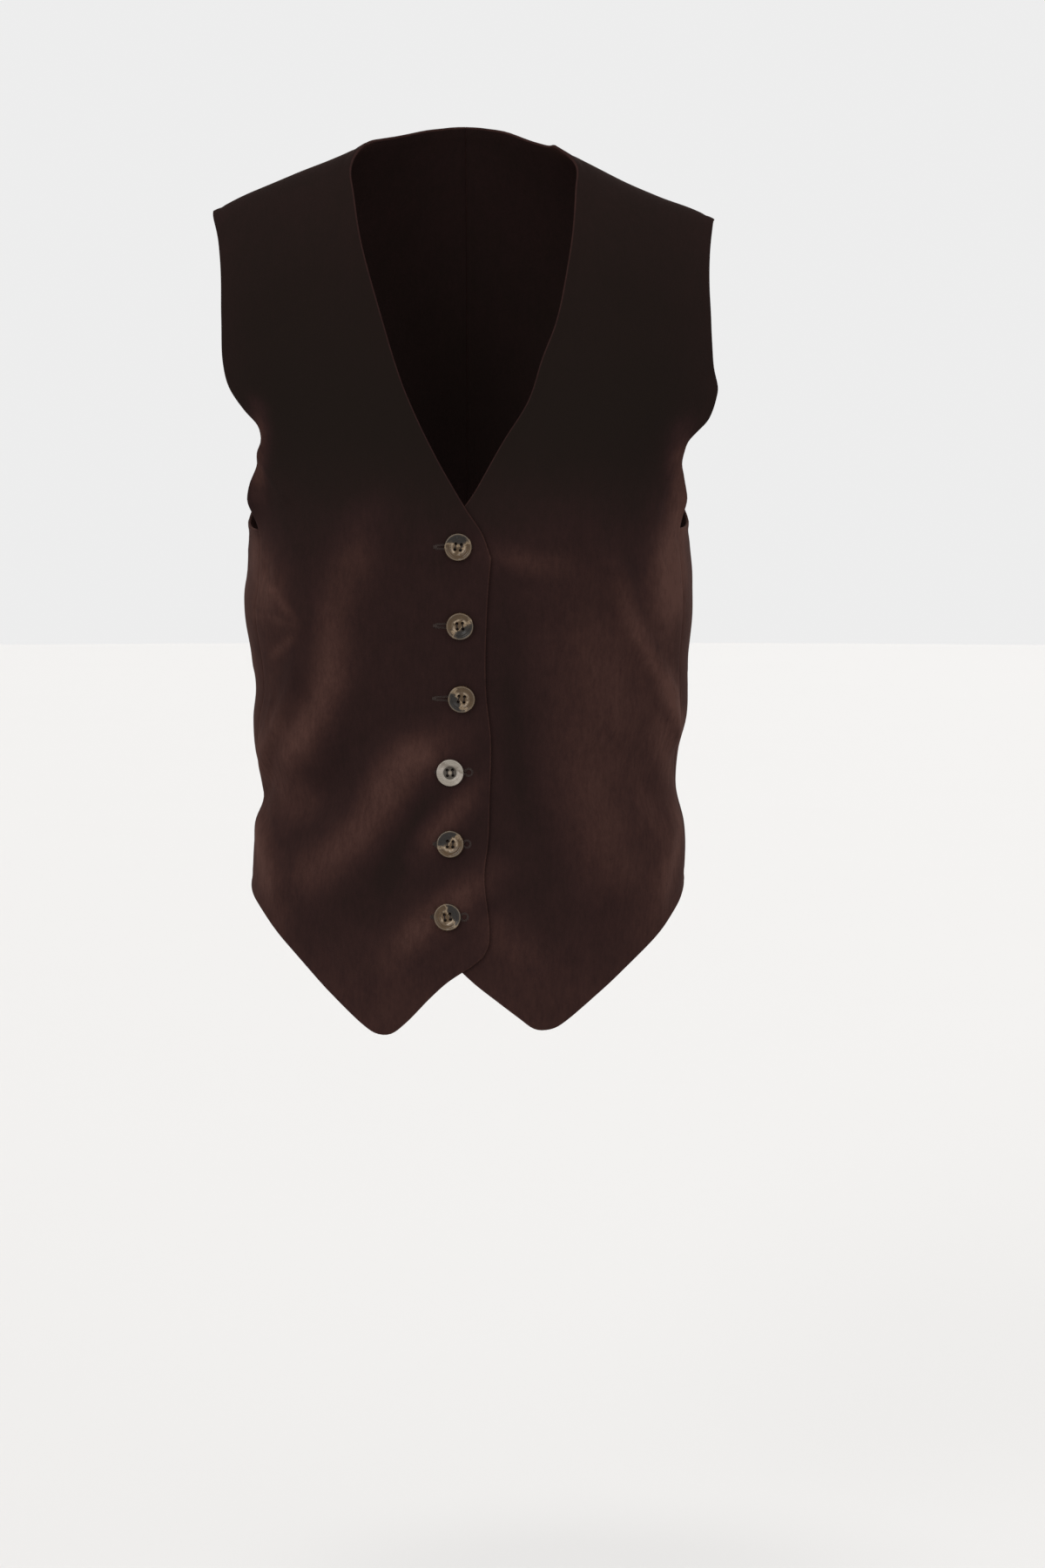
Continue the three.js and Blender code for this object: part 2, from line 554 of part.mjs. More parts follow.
function shankGeometry() {
  const bottom = -CLOTH - LAP_GAP + SHANK.gap;
  const top = BUTTON.seat - SHANK.gap;
  const shank = new THREE.CylinderGeometry(SHANK.radius, SHANK.radius, top - bottom, SHANK.sides);
  return shank.rotateX(Math.PI / 2).translate(0, 0, (top + bottom) / 2);
}

function piece(name, geometry, color, roughness, metalness = 0) {
  geometry.computeVertexNormals();
  const mesh = new THREE.Mesh(geometry, new THREE.MeshStandardMaterial({ color, roughness, metalness }));
  mesh.name = name;
  return mesh;
}

function buildFronts(waistcoat) {
  const right = wallGeometry(frontPatches('right'), SHOULDER_ARCH.front, false);
  const cut = BUTTON_ROWS.reduce((solid, row) => solid.subtract(buttonholeCutter(row)), toSolid(right));
  waistcoat.add(piece('front_right', toGeometry(cut), VELVET.right, 0.95));
  const left = wallGeometry(frontPatches('left'), SHOULDER_ARCH.front, true);
  waistcoat.add(piece('front_left', left, VELVET.left, 0.95));
}

function buildBacks(waistcoat) {
  for (const side of ['right', 'left']) {
    const geometry = wallGeometry(backPatches(side), SHOULDER_ARCH.back, false);
    waistcoat.add(piece(`back_${side}`, geometry, VELVET.back, 0.95));
  }
}

function buildButtons(waistcoat) {
  BUTTON_ROWS.forEach((row, index) => {
    const frame = placketFrame(row.button, row.z);
    const button = piece(`button_${index + 1}`, buttonGeometry(), HORN, 0.3);
    button.position.copy(frame.point).addScaledVector(frame.normal, BUTTON.seat);
    button.quaternion.copy(frame.turn);
    const shank = piece(`thread_shank_${index + 1}`, shankGeometry(), THREAD, 0.9);
    shank.position.copy(frame.point);
    shank.quaternion.copy(frame.turn);
    waistcoat.add(button, shank);
  });
}

const waistcoat = new THREE.Group();
buildFronts(waistcoat);
buildBacks(waistcoat);
buildButtons(waistcoat);

export default waistcoat;
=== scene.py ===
"""Dresses a velvet suit waistcoat: fine cloth panels, worked buttonholes, horn buttons and a plain studio.

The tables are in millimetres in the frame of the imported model: +Z up, the front faces -Y, the wearer's
right side is -X, and the origin lies midway between the neck ends of the shoulder seams. Meshes are
made in metres.
"""

import logging
import math
from dataclasses import dataclass, field
from enum import Enum
from typing import Any, NamedTuple, Sequence

import bmesh
import bpy
import numpy as np
from mathutils import Matrix, Vector
from mathutils.kdtree import KDTree


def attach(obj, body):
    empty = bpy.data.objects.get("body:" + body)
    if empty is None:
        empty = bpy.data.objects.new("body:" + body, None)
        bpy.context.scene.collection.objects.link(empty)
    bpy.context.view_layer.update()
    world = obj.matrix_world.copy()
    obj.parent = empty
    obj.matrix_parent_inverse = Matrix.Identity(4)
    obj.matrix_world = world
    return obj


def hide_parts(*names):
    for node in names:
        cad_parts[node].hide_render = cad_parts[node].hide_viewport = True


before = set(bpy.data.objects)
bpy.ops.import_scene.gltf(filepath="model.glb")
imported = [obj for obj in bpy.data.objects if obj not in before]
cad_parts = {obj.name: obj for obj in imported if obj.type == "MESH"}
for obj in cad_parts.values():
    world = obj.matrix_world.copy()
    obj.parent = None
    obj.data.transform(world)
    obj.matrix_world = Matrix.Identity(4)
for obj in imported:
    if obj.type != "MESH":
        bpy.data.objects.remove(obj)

LOG = logging.getLogger("waistcoat")
MM = 0.001
BODY = "root"
TINY = 1e-9
OFF_CENTRE = 1e-6
WELD_DECIMALS = 4
SEAM_DECIMALS = 3
TUBE_GUIDE = (0.3, 0.2, 1.0)

Colour = tuple[float, float, float]
PathPoints = tuple[tuple[float, float], ...]
Faces = list[tuple[int, ...]]


class Side(Enum):
    """The wearer's side that a panel or a table column belongs to."""

    RIGHT = "right"
    LEFT = "left"

    @property
    def sign(self) -> int:
        """Sign of X on this side."""
        return -1 if self is Side.RIGHT else 1


class Face(Enum):
    """Front or back of the garment."""

    FRONT = "front"
    BACK = "back"


class HornTone(Enum):
    """How light a button's horn is."""

    MOTTLED = "mottled"
    PALE = "pale"


class Section(NamedTuple):
    """Half widths and depths of the worn form at one height."""

    z: float
    right: float
    left: float
    front: float
    back: float


class ShoulderRow(NamedTuple):
    """Height of the shoulder line at a distance out from the centre plane."""

    out: float
    right: float
    left: float


class Outward(NamedTuple):
    """Place on an edge, by its distance out on the panel's own side and its height."""

    out: float
    z: float


class Turned(NamedTuple):
    """Place on an edge, by its angle round the form and its height."""

    angle: float
    z: float


class NeckDrop(NamedTuple):
    """Place on the back neck, by its distance out and its drop below the shoulder line."""

    out: float
    drop: float


class Fold(NamedTuple):
    """Ridge or trough along a path of (angle, z); the height is negative for a trough."""

    path: PathPoints
    width: float
    height: float


class PaintedLightBand(NamedTuple):
    """Band of painted sheen, or of painted shade where its tone is negative, along a path of (angle, z); it
    fades at its ends.
    """

    path: PathPoints
    width: float
    tone: float


class ButtonRow(NamedTuple):
    """One fastening: its height, the button's centre and the blunt end of its buttonhole along X.

    The button is turned by turn, and its slate patch lies towards the angle patch, both in degrees.
    """

    z: float
    button: float
    tail: float
    turn: float
    patch: float
    tone: HornTone
def rows_of(kind: type, *rows: tuple[float, ...]) -> tuple[Any, ...]:
    """Table rows of one kind."""
    return tuple(kind(*row) for row in rows)
SECTIONS = rows_of(
    Section,
    (60, 190, 182, 50, 78), (0, 190, 182, 50, 84), (-40, 188, 182, 58, 91), (-80, 186, 182, 68, 97),
    (-120, 183, 181, 80, 102), (-160, 175, 178, 94, 105), (-195, 161, 168, 108, 106),
    (-230, 151, 156, 118, 105), (-263, 148, 153.2, 124, 102), (-293, 148.5, 155.3, 123, 98.5),
    (-314, 151, 156, 121.5, 96.5), (-350, 145.6, 153.6, 117, 92), (-370, 143.8, 153.6, 114, 89.5),
    (-390, 146, 152.6, 111, 87.5), (-412, 145, 147.5, 108, 86), (-437, 137.6, 145.4, 106, 85),
    (-462, 143.6, 151.2, 106.5, 88.5), (-500, 147, 151.4, 109, 96), (-560, 146, 148, 112, 102),
    (-620, 146, 146, 114, 107),
)
SHOULDER_LINE = rows_of(
    ShoulderRow,
    (0, 40, 40), (30, 28, 27), (50, 14, 10), (65, 3.2, -2), (77, -3.2, -8.2), (91, -9.4, -15),
    (115, -18.7, -27), (133, -26, -34.6), (157, -36.6, -42.9), (175, -45.8, -52), (190, -54, -61),
)
NECK_POINT = {Side.RIGHT: 65.6, Side.LEFT: 61.5}
SHOULDER_POINT = {Side.RIGHT: 172.0, Side.LEFT: 171.0}
NECK_EDGE = {
    Side.RIGHT: rows_of(
        Outward,
        (75.4, -11.7), (76.3, -21), (74.1, -33.8), (70.6, -56.4), (66.3, -76.1), (59.1, -101.9),
        (45.4, -147.3), (35.3, -174.1), (16.6, -212.4), (-2.4, -244.9), (-13, -261), (-19, -277.4),
    ),
    Side.LEFT: rows_of(
        Outward,
        (75.6, -14), (75.3, -32.1), (73.4, -58.7), (69.9, -82.8), (61.6, -122.3), (52.1, -147.2),
        (43.1, -174.1), (28.5, -197), (6.9, -234.7), (-6, -252), (-18, -268), (-24, -285),
    ),
}
PLACKET_EDGE = {
    Side.RIGHT: rows_of(
        Outward,
        (-16.5, -308), (-15.5, -365), (-18.8, -405), (-17, -464), (-14.3, -490), (-17.6, -524), (-17, -536),
        (-13.5, -543.4),
    ),
    Side.LEFT: rows_of(
        Outward,
        (-25, -310), (-25, -400), (-25, -490), (-24.5, -528), (-19.5, -539),
    ),
}
HEM_EDGE = {
    Side.RIGHT: rows_of(
        Outward,
        (-6.8, -549), (10.3, -560.3), (22, -570.9), (37.4, -586.9), (47.1, -594.8), (52.6, -596.3),
        (59.4, -595.2), (65.9, -591.2), (89, -570.4), (106.5, -553), (121.9, -537.5), (138.7, -518.5),
    ),
    Side.LEFT: rows_of(
        Outward,
        (-12, -544), (8.8, -562.6), (19.3, -570.8), (37.9, -585.1), (46.9, -591.8), (52.7, -593.2),
        (59.4, -592.5), (64.1, -590.7), (90.9, -569.9), (111.8, -552), (130, -535.3), (142.2, -521.2),
    ),
}
FRONT_ARMHOLE = {
    Side.RIGHT: rows_of(
        Turned,
        (65.9, -49.2), (63.2, -67), (62.5, -91), (63.2, -115), (66.2, -147), (66.2, -166), (62.4, -180),
        (58, -191), (57.4, -200), (60.6, -209), (65, -221), (68, -235), (68.9, -248), (68.6, -260.2),
    ),
    Side.LEFT: rows_of(
        Turned,
        (68.4, -56), (66.6, -76), (66.4, -98), (68, -124), (70, -150), (71.2, -170), (70.2, -184),
        (67.4, -195), (64, -204), (64.6, -213), (67.6, -223), (70.4, -236), (71.8, -248), (71.9, -259.2),
    ),
}
BACK_ARMHOLE = rows_of(
    Turned,
    (119, -68), (123, -100), (125, -135), (124.6, -168), (122, -194), (116.5, -215),
)
BACK_UNDERARM = rows_of(
    Turned,
    (116.5, -215), (107, -236), (95, -250), (82, -257.5),
)
SIDE_SEAM = {
    Side.RIGHT: rows_of(
        Turned,
        (68.6, -260.2), (69, -310), (71, -370), (76, -410), (83, -437), (85, -475), (87.5, -504),
    ),
    Side.LEFT: rows_of(
        Turned,
        (71.9, -259.2), (72, -310), (73, -370), (77, -410), (83, -437), (85, -475), (87.5, -504),
    ),
}
BACK_NECK = rows_of(
    NeckDrop,
    (0, 23.6), (7, 21.2), (19, 18.4), (34, 13.5), (48, 7), (57, 2.6),
)
BACK_HEM = rows_of(
    Turned,
    (110, -507), (140, -511), (160, -513),
)
CENTRE_BACK_AT_UNDERARM = -196.0
CENTRE_BACK_HEM = -514.0

FOLDS = (
    Fold(((-27, -271), (-38, -359), (-55, -417)), 20, 2.2),
    Fold(((-50, -352), (-59, -392), (-70, -416), (-82, -434)), 9, 3.2),
    Fold(((-57, -288), (-59, -300), (-49, -325)), 9, 2.2),
    Fold(((-60, -205), (-53, -235)), 9, 2.4),
    Fold(((-71, -229), (-71, -238)), 14, 8.5),
    Fold(((-11, -359), (-27, -398), (-47, -449)), 17, -2.6),
    Fold(((-8, -404), (-25, -422), (-35, -479)), 15, 2.2),
    Fold(((-3, -432), (-15, -444), (-21, -478), (-25, -522)), 13, -2.6),
    Fold(((-80, -461), (-66, -481), (-58, -500)), 12, 2.2),
    Fold(((62, -207), (57, -237), (56, -248)), 9, 2.4),
    Fold(((73, -222), (73, -236)), 14, 6),
    Fold(((73, -168), (72, -186)), 13, 6.5),
    Fold(((43, -289), (45, -318), (58, -358), (72, -399)), 10, 3.4),
    Fold(((11, -297), (12, -360), (17, -447), (35, -502)), 16, -2.6),
    Fold(((37, -440), (43, -490)), 20, 2.2),
    Fold(((66, -470), (60, -514)), 12, 2.2),
    Fold(((-96, -300), (-118, -352), (-150, -398)), 14, 3),
    Fold(((98, -292), (116, -345), (142, -385)), 14, 3),
    Fold(((-92, -410), (-125, -428), (-160, -432)), 13, -3),
    Fold(((92, -405), (130, -425), (158, -436)), 13, -3),
    Fold(((-128, -210), (-146, -250), (-158, -300)), 16, -2.4),
    Fold(((127, -214), (148, -262), (156, -306)), 16, -2.4),
)
CREASES = (
    Fold(((-56, -196), (-61, -212), (-57, -222), (-50, -238)), 4.5, 1.1),
    Fold(((-64, -286), (-58, -296), (-50, -312), (-42, -334)), 4.5, -1.0),
    Fold(((-46, -372), (-56, -396), (-66, -421), (-78, -444)), 5, -1.3),
    Fold(((-64, -372), (-66, -392), (-74, -409)), 4, 0.9),
    Fold(((-72, -430), (-60, -437), (-49, -436)), 4.5, 0.8),
    Fold(((-74, -452), (-62, -470), (-54, -478)), 4, -0.8),
    Fold(((-21, -392), (-33, -412), (-44, -436)), 5, -0.9),
    Fold(((-13, -430), (-20, -452), (-22, -486)), 4.5, -0.8),
    Fold(((60, -208), (57, -226), (52, -244)), 4.5, -1.0),
    Fold(((60, -286), (54, -300), (47, -312)), 4, 0.9),
    Fold(((38, -300), (41, -324), (52, -350), (63, -376)), 5, -1.2),
    Fold(((50, -326), (60, -352), (69, -372)), 4, 0.8),
    Fold(((70, -414), (60, -424), (50, -424)), 5, 0.8),
    Fold(((72, -446), (60, -462), (52, -470)), 4.5, -0.7),
    Fold(((-100, -330), (-122, -372), (-146, -402)), 5, -1.0),
    Fold(((-96, -430), (-120, -446), (-148, -446)), 5, 1.1),
    Fold(((-110, -470), (-112, -506)), 7, 0.9),
    Fold(((102, -322), (120, -362), (138, -392)), 5, -1.0),
    Fold(((94, -426), (118, -441), (146, -450)), 5, 1.0),
    Fold(((116, -468), (113, -506)), 7, 0.8),
    Fold(((-120, -150), (-134, -186), (-150, -204)), 6, 0.9),
    Fold(((122, -158), (137, -190), (149, -212)), 6, 0.8),
    Fold(((-88, -276), (-92, -312), (-86, -352)), 6, 0.9),
    Fold(((90, -270), (88, -318), (92, -356)), 6, 0.8),
)
# Painted shade and sheen by height: darker on the chest, lighter lower down.
PAINTED_LIGHT_BY_HEIGHT = (
    (-40, 0.05), (-120, 0.02), (-225, 0.03), (-252, 0.07), (-285, 0.13), (-330, 0.15), (-440, 0.11),
    (-500, 0.12), (-530, 0.17), (-560, 0.26), (-600, 0.34),
)
# Painted sheen along the flanks of folds; bands with a negative tone are painted shade in troughs, one
# beside the right front's edge.
PAINTED_LIGHT_BANDS = (
    PaintedLightBand(((-24, -250), (-32, -294), (-36, -330), (-37, -350)), 14, 0.26),
    PaintedLightBand(((-34, -318), (-37, -352), (-42, -380), (-49, -402), (-62, -426)), 13, 0.56),
    PaintedLightBand(((-3, -396), (-14, -412), (-22, -434), (-29, -460)), 13, 0.6),
    PaintedLightBand(((-20, -428), (-28, -458), (-38, -480), (-56, -500)), 15, 0.42),
    PaintedLightBand(((4, -428), (-5, -454), (-12, -476)), 8, 0.42),
    PaintedLightBand(((8, -486), (-3, -508), (-11, -524), (-20, -546)), 10, 0.5),
    PaintedLightBand(((-55, -180), (-61, -210), (-65, -236)), 8, 0.45),
    PaintedLightBand(((-80, -258), (-67, -290), (-54, -322)), 18, 0.42),
    PaintedLightBand(((-52, -380), (-64, -402), (-80, -420)), 14, 0.34),
    PaintedLightBand(((-82, -450), (-70, -488), (-58, -516)), 16, 0.46),
    PaintedLightBand(((-7, -426), (-17, -462), (-25, -512)), 11, -0.06),
    PaintedLightBand(((30, -290), (40, -350), (38, -420), (44, -474), (54, -516)), 38, 0.32),
    PaintedLightBand(((40, -282), (45, -316), (52, -340), (60, -362), (68, -384), (80, -408)), 8, 0.42),
    PaintedLightBand(((84, -226), (72, -258), (66, -290), (60, -330)), 24, 0.84),
    PaintedLightBand(((59, -350), (68, -378), (80, -404)), 12, 0.7),
    PaintedLightBand(((61, -196), (66, -222), (69, -250)), 12, 0.5),
    PaintedLightBand(((5, -272), (18, -281), (31, -285)), 9, 0.26),
    PaintedLightBand(((-46, -322), (-56, -304), (-68, -288)), 3.5, 0.34),
    PaintedLightBand(((-47, -324), (-60, -318), (-75, -318)), 3.5, 0.32),
    PaintedLightBand(((-47, -327), (-55, -338), (-64, -346)), 3.5, 0.3),
    PaintedLightBand(((41, -296), (44, -322), (53, -346), (64, -372)), 3.5, 0.3),
    PaintedLightBand(((46, -396), (54, -432), (62, -470), (64, -486)), 14, 0.22),
    PaintedLightBand(((55, -380), (63, -402), (74, -424), (82, -430)), 13, 0.46),
    PaintedLightBand(((-86, -408), (-70, -426), (-50, -442), (-40, -446)), 17, 0.28),
    PaintedLightBand(((84, -436), (72, -476), (58, -518)), 16, 0.5),
    PaintedLightBand(((30, -458), (43, -484), (58, -504)), 15, 0.24),
    PaintedLightBand(((4, -516), (12, -534), (20, -552)), 11, 0.2),
    PaintedLightBand(((11, -286), (12, -360), (15, -420), (23, -486)), 11, -0.08),
    PaintedLightBand(((-92, -290), (-118, -352), (-156, -406)), 22, 0.34),
    PaintedLightBand(((94, -284), (116, -345), (150, -394)), 22, 0.34),
    PaintedLightBand(((-98, -430), (-125, -470), (-140, -514)), 28, 0.28),
    PaintedLightBand(((102, -426), (128, -468), (138, -514)), 28, 0.26),
    PaintedLightBand(((-106, -272), (-134, -230), (-150, -180)), 24, 0.22),
    PaintedLightBand(((108, -268), (136, -226), (154, -176)), 24, 0.2),
)
BUTTON_ROWS = (
    ButtonRow(-270, -2.8, -17.3, -8, 100, HornTone.MOTTLED),
    ButtonRow(-322, -1.7, -17.6, 4, -48, HornTone.MOTTLED),
    ButtonRow(-370.5, -0.8, -18.4, -6, 206, HornTone.MOTTLED),
    ButtonRow(-420, -8.5, -17.2, 3, 70, HornTone.PALE),
    ButtonRow(-468, -8.5, -18.5, -3, 118, HornTone.MOTTLED),
    ButtonRow(-516.5, -10.3, -20.2, 9, 28, HornTone.MOTTLED),
)


def smoothstep(value: np.ndarray, low: float, high: float) -> np.ndarray:
    """Smooth ramp from 0 at low to 1 at high.

    Args:
        value: Where the ramp is read.
        low: Value at which the ramp starts.
        high: Value at which it ends.

    Returns:
        The ramp's height at each value.
    """
    t = np.clip((np.asarray(value, float) - low) / (high - low), 0, 1)
    return t * t * (3 - 2 * t)


def nearest_on_path(points: np.ndarray, path: np.ndarray) -> tuple[np.ndarray, np.ndarray]:
    """Distance of each point from a line through the path's points, and how far along it is nearest.

    Args:
        points: Points, one to a row.
        path: Corners of the line, one to a row, in the same axes.

    Returns:
        Distances, and the share of the path's length up to the nearest places.
    """
    lengths = np.linalg.norm(np.diff(path, axis=0), axis=1)
    before = np.concatenate([[0], np.cumsum(lengths)]) / lengths.sum()
    nearest, along = np.full(len(points), np.inf), np.zeros(len(points))
    for k, (start, end) in enumerate(zip(path[:-1], path[1:])):
        step = end - start
        t = np.clip((points - start) @ step / max(float(step @ step), TINY), 0, 1)
        distance = np.linalg.norm(points - start - t[:, None] * step, axis=1)
        closer = distance < nearest
        nearest = np.where(closer, distance, nearest)
        along = np.where(closer, before[k] + t * (before[k + 1] - before[k]), along)
    return nearest, along


def distance_to_path(points: np.ndarray, path: np.ndarray) -> np.ndarray:
    """Distance of each point from a line through the path's points."""
    return nearest_on_path(points, path)[0]


class TableCurve:
    """Smooth curve through a table's columns, held level past its ends."""

    def __init__(self, keys: Sequence[float], values: Sequence[float]) -> None:
        """Sorts the table and finds its slopes.

        Args:
            keys: Key column.
            values: Value column.
        """
        order = np.argsort(keys)
        self.xs = np.asarray(keys, float)[order]
        self.ys = np.asarray(values, float)[order]
        self.spans = np.diff(self.xs)
        slopes = np.diff(self.ys) / self.spans
        weighed = slopes[:-1] * self.spans[1:] + slopes[1:] * self.spans[:-1]
        inner = weighed / (self.spans[1:] + self.spans[:-1])
        self.tangents = np.concatenate([slopes[:1], inner, slopes[-1:]])

    def __call__(self, wanted: np.ndarray) -> np.ndarray:
        """Value of the curve.

        Args:
            wanted: Keys at which it is read.

        Returns:
            The value at each key.
        """
        x = np.clip(wanted, self.xs[0], self.xs[-1])
        i = np.clip(np.searchsorted(self.xs, x, side="left") - 1, 0, len(self.spans) - 1)
        span, t = self.spans[i], (x - self.xs[i]) / self.spans[i]
        start = (2 * t**3 - 3 * t**2 + 1) * self.ys[i] + (t**3 - 2 * t**2 + t) * span * self.tangents[i]
        end = (3 * t**2 - 2 * t**3) * self.ys[i + 1] + (t**3 - t**2) * span * self.tangents[i + 1]
        return start + end


@dataclass
class WornForm:
    """General figure that the cloth follows: level sections, a shoulder line and the fullness of the darts.

    A place on it is an angle, 0 at the centre front and 180 at the centre back and negative on the
    wearer's right, with a level, the length down the cloth from the shoulder line.
    """

    front_squareness: float = 0.8
    back_squareness: float = 0.85
    arch_fade: float = 120.0
    bust_out: float = 80.0
    bust_z: float = -255.0
    bust_height: float = 13.0
    bust_width: float = 46.0
    bust_above: float = 75.0
    bust_below: float = 45.0
    passes: int = 6
    step: float = 0.5
    longest: float = 1000.0
    halvings: int = 34
    arches: dict[Face, float] = field(default_factory=lambda: {Face.FRONT: 75.0, Face.BACK: 120.0})

    def __post_init__(self) -> None:
        """Makes the curves through the tables."""
        zs = [row.z for row in SECTIONS]
        outs = [row.out for row in SHOULDER_LINE]
        self.widths = {side: TableCurve(zs, [getattr(row, side.value) for row in SECTIONS]) for side in Side}
        self.front_depth = TableCurve(zs, [row.front for row in SECTIONS])
        self.back_depth = TableCurve(zs, [row.back for row in SECTIONS])
        self.shoulders = {
            side: TableCurve(outs, [getattr(row, side.value) for row in SHOULDER_LINE]) for side in Side
        }

    def half_width(self, signed: np.ndarray, z: np.ndarray) -> np.ndarray:
        """Half width at a height, on the side that the sign of an angle or of X gives."""
        return np.where(np.asarray(signed) < 0, self.widths[Side.RIGHT](z), self.widths[Side.LEFT](z))

    def shoulder_height(self, signed: np.ndarray, out: np.ndarray) -> np.ndarray:
        """Height of the shoulder line at a distance out, on the side that the sign gives."""
        right, left = (self.shoulders[side](out) for side in Side)
        return np.where(np.asarray(signed) < 0, right, left)

    def drop(self, level: np.ndarray, arch: float) -> np.ndarray:
        """Fall of the cloth at a level: over the shoulder's arch, then straight down."""
        over = arch * (1 - np.cos(np.minimum(level / arch, math.pi / 2)))
        return over + np.maximum(level - arch * math.pi / 2, 0)

    def height(self, signed: np.ndarray, out: np.ndarray, level: np.ndarray, arch: float) -> np.ndarray:
        """Height of a place.

        Args:
            signed: Angle or X, whose sign gives the side.
            out: Distance from the centre plane.
            level: Length down the cloth.
            arch: Radius of the shoulder's arch.

        Returns:
            The height of each place.
        """
        below = np.asarray(level) - arch * math.pi / 2
        fade = 1 - smoothstep(below, 0, self.arch_fade)
        return self.shoulder_height(signed, np.abs(out)) * fade - self.drop(level, arch)

    def level_at(self, x: np.ndarray, z: np.ndarray, arch: float) -> np.ndarray:
        """Level of the places at X and a height, by halving.

        Args:
            x: Places along X.
            z: Heights.
            arch: Radius of the shoulder's arch.

        Returns:
            The level of each place.
        """
        x, z = np.broadcast_arrays(np.asarray(x, float), np.asarray(z, float))
        low, high = np.zeros(x.shape), np.full(x.shape, self.longest)
        for _ in range(self.halvings):
            middle = (low + high) / 2
            above = self.height(x, x, middle, arch) > z
            low, high = np.where(above, middle, low), np.where(above, high, middle)
        return low

    def point(self, angle: np.ndarray, level: np.ndarray, arch: float) -> np.ndarray:
        """Bare form at angles and levels.

        Args:
            angle: Angles in degrees.
            level: Lengths down the cloth.
            arch: Radius of the shoulder's arch.

        Returns:
            Points, one to a row.
        """
        sine, cosine = np.sin(np.radians(angle)), np.cos(np.radians(angle))
        z = -self.drop(level, arch)
        x = np.zeros_like(z)
        for _ in range(self.passes):
            x = self.half_width(angle, z) * sine
            z = self.height(angle, x, level, arch)
        rise = np.sin(np.minimum(level / arch, math.pi / 2))
        ahead, behind = np.maximum(cosine, 0), np.maximum(-cosine, 0)
        across = ((np.abs(x) - self.bust_out) / self.bust_width) ** 2
        along = ((z - self.bust_z) / np.where(z > self.bust_z, self.bust_above, self.bust_below)) ** 2
        bust = self.bust_height * np.exp(-across - along) * np.sqrt(ahead)
        front = -self.front_depth(z) * ahead**self.front_squareness * rise - bust
        back = self.back_depth(z) * behind**self.back_squareness * rise
        return np.stack([x, np.where(cosine < 0, back, front), z], axis=-1)

    def normal(self, angle: np.ndarray, level: np.ndarray, arch: float) -> np.ndarray:
        """Outward direction of the bare form.

        Args:
            angle: Angles in degrees.
            level: Lengths down the cloth.
            arch: Radius of the shoulder's arch.

        Returns:
            Unit vectors, one to a row.
        """
        lower = np.maximum(level - self.step, 0)
        round_it = self.point(angle + self.step, level, arch) - self.point(angle - self.step, level, arch)
        down = self.point(angle, level + self.step, arch) - self.point(angle, lower, arch)
        out = np.cross(down, round_it)
        return out / np.linalg.norm(out, axis=-1, keepdims=True)


@dataclass
class PatternRules:
    """How the pattern is laid on the form: seams, laps, grid and edge finish.

    Lengths are in millimetres. The two flat spans, at the centre front and back, are in degrees.
    """

    cloth: float = 2.0
    lap_gap: float = 0.6
    lap_end: float = 22.0
    lap_rise: float = 52.0
    mm_per_degree: float = 2.3
    subdivide: int = 5
    seam_rows: int = 18
    neck_rows: int = 21
    front_columns: int = 19
    armhole_rows: int = 10
    neck_columns: int = 4
    shoulder_columns: int = 6
    underarm_columns: int = 8
    flat_lap: tuple[float, float] = (9.0, 18.0)
    flat_centre_back: tuple[float, float] = (162.0, 171.0)
    edge_roll: float = 1.0
    seam_roll: float = 0.25
    roll_steps: int = 6
    widest_mitre: float = 2.0
    # Painted highlight added to the tone of the rolled edges.
    rolled_edge_painted_highlight: float = 0.24
    seam_dip: float = 0.3
    seam_dip_width: float = 2.6
    welt_height: float = 0.3
    welt_width: float = 5.0
    welt_groove: float = 0.28
    welt_groove_width: float = 1.8

    @property
    def scale(self) -> np.ndarray:
        """Lengths on the cloth for a degree of angle and for a millimetre of height."""
        return np.array([self.mm_per_degree, 1.0])


@dataclass(frozen=True)
class Unevenness:
    """Soft ripples of the cloth, a broad and a fine one, with their wave lengths in millimetres."""

    broad_height: float = 0.26
    broad_lengths: tuple[float, float, float] = (17.0, 29.0, 41.0)
    broad_bend: float = 1.3
    broad_shift: float = 0.8
    fine_height: float = 0.18
    fine_lengths: tuple[float, float, float, float] = (9.5, 23.0, 13.0, 31.0)
    fine_shift: float = 2.1

    def relief(self, u: np.ndarray, v: np.ndarray) -> np.ndarray:
        """Height of the ripples.

        Args:
            u: Places round the cloth.
            v: Places down the cloth.

        Returns:
            The height at each place.
        """
        across, down, bend = self.broad_lengths
        broad = np.sin(u / across + self.broad_bend * np.sin(v / bend)) * np.sin(v / down + self.broad_shift)
        across, slant, down, turn = self.fine_lengths
        fine = np.sin(u / across - v / slant + self.fine_shift) * np.sin(v / down + u / turn)
        return self.broad_height * broad + self.fine_height * fine


@dataclass(frozen=True)
class PaintedLightRules:
    """How bands of painted sheen and shade fade at their ends, and the painted sheen that makes the sides
    lighter, more so lower down.
    """

    end_length: float = 0.3
    end_tone: float = 0.3
    side_from: float = 44.0
    side_to: float = 74.0
    side_tone: float = 0.04
    low_side_tone: float = 0.2
    low_from: float = -240.0
    low_to: float = -300.0

    def fade(self, along: np.ndarray) -> np.ndarray:
        """Strength of a band at shares of its length."""
        inside = smoothstep(along, 0, self.end_length) * (1 - smoothstep(along, 1 - self.end_length, 1))
        return self.end_tone + (1 - self.end_tone) * inside

    def sides(self, angle: np.ndarray, z: np.ndarray) -> np.ndarray:
        """Painted sheen that makes the sides lighter."""
        low = 1 - smoothstep(z, self.low_to, self.low_from)
        strength = self.side_tone + self.low_side_tone * low
        return smoothstep(np.abs(angle), self.side_from, self.side_to) * strength


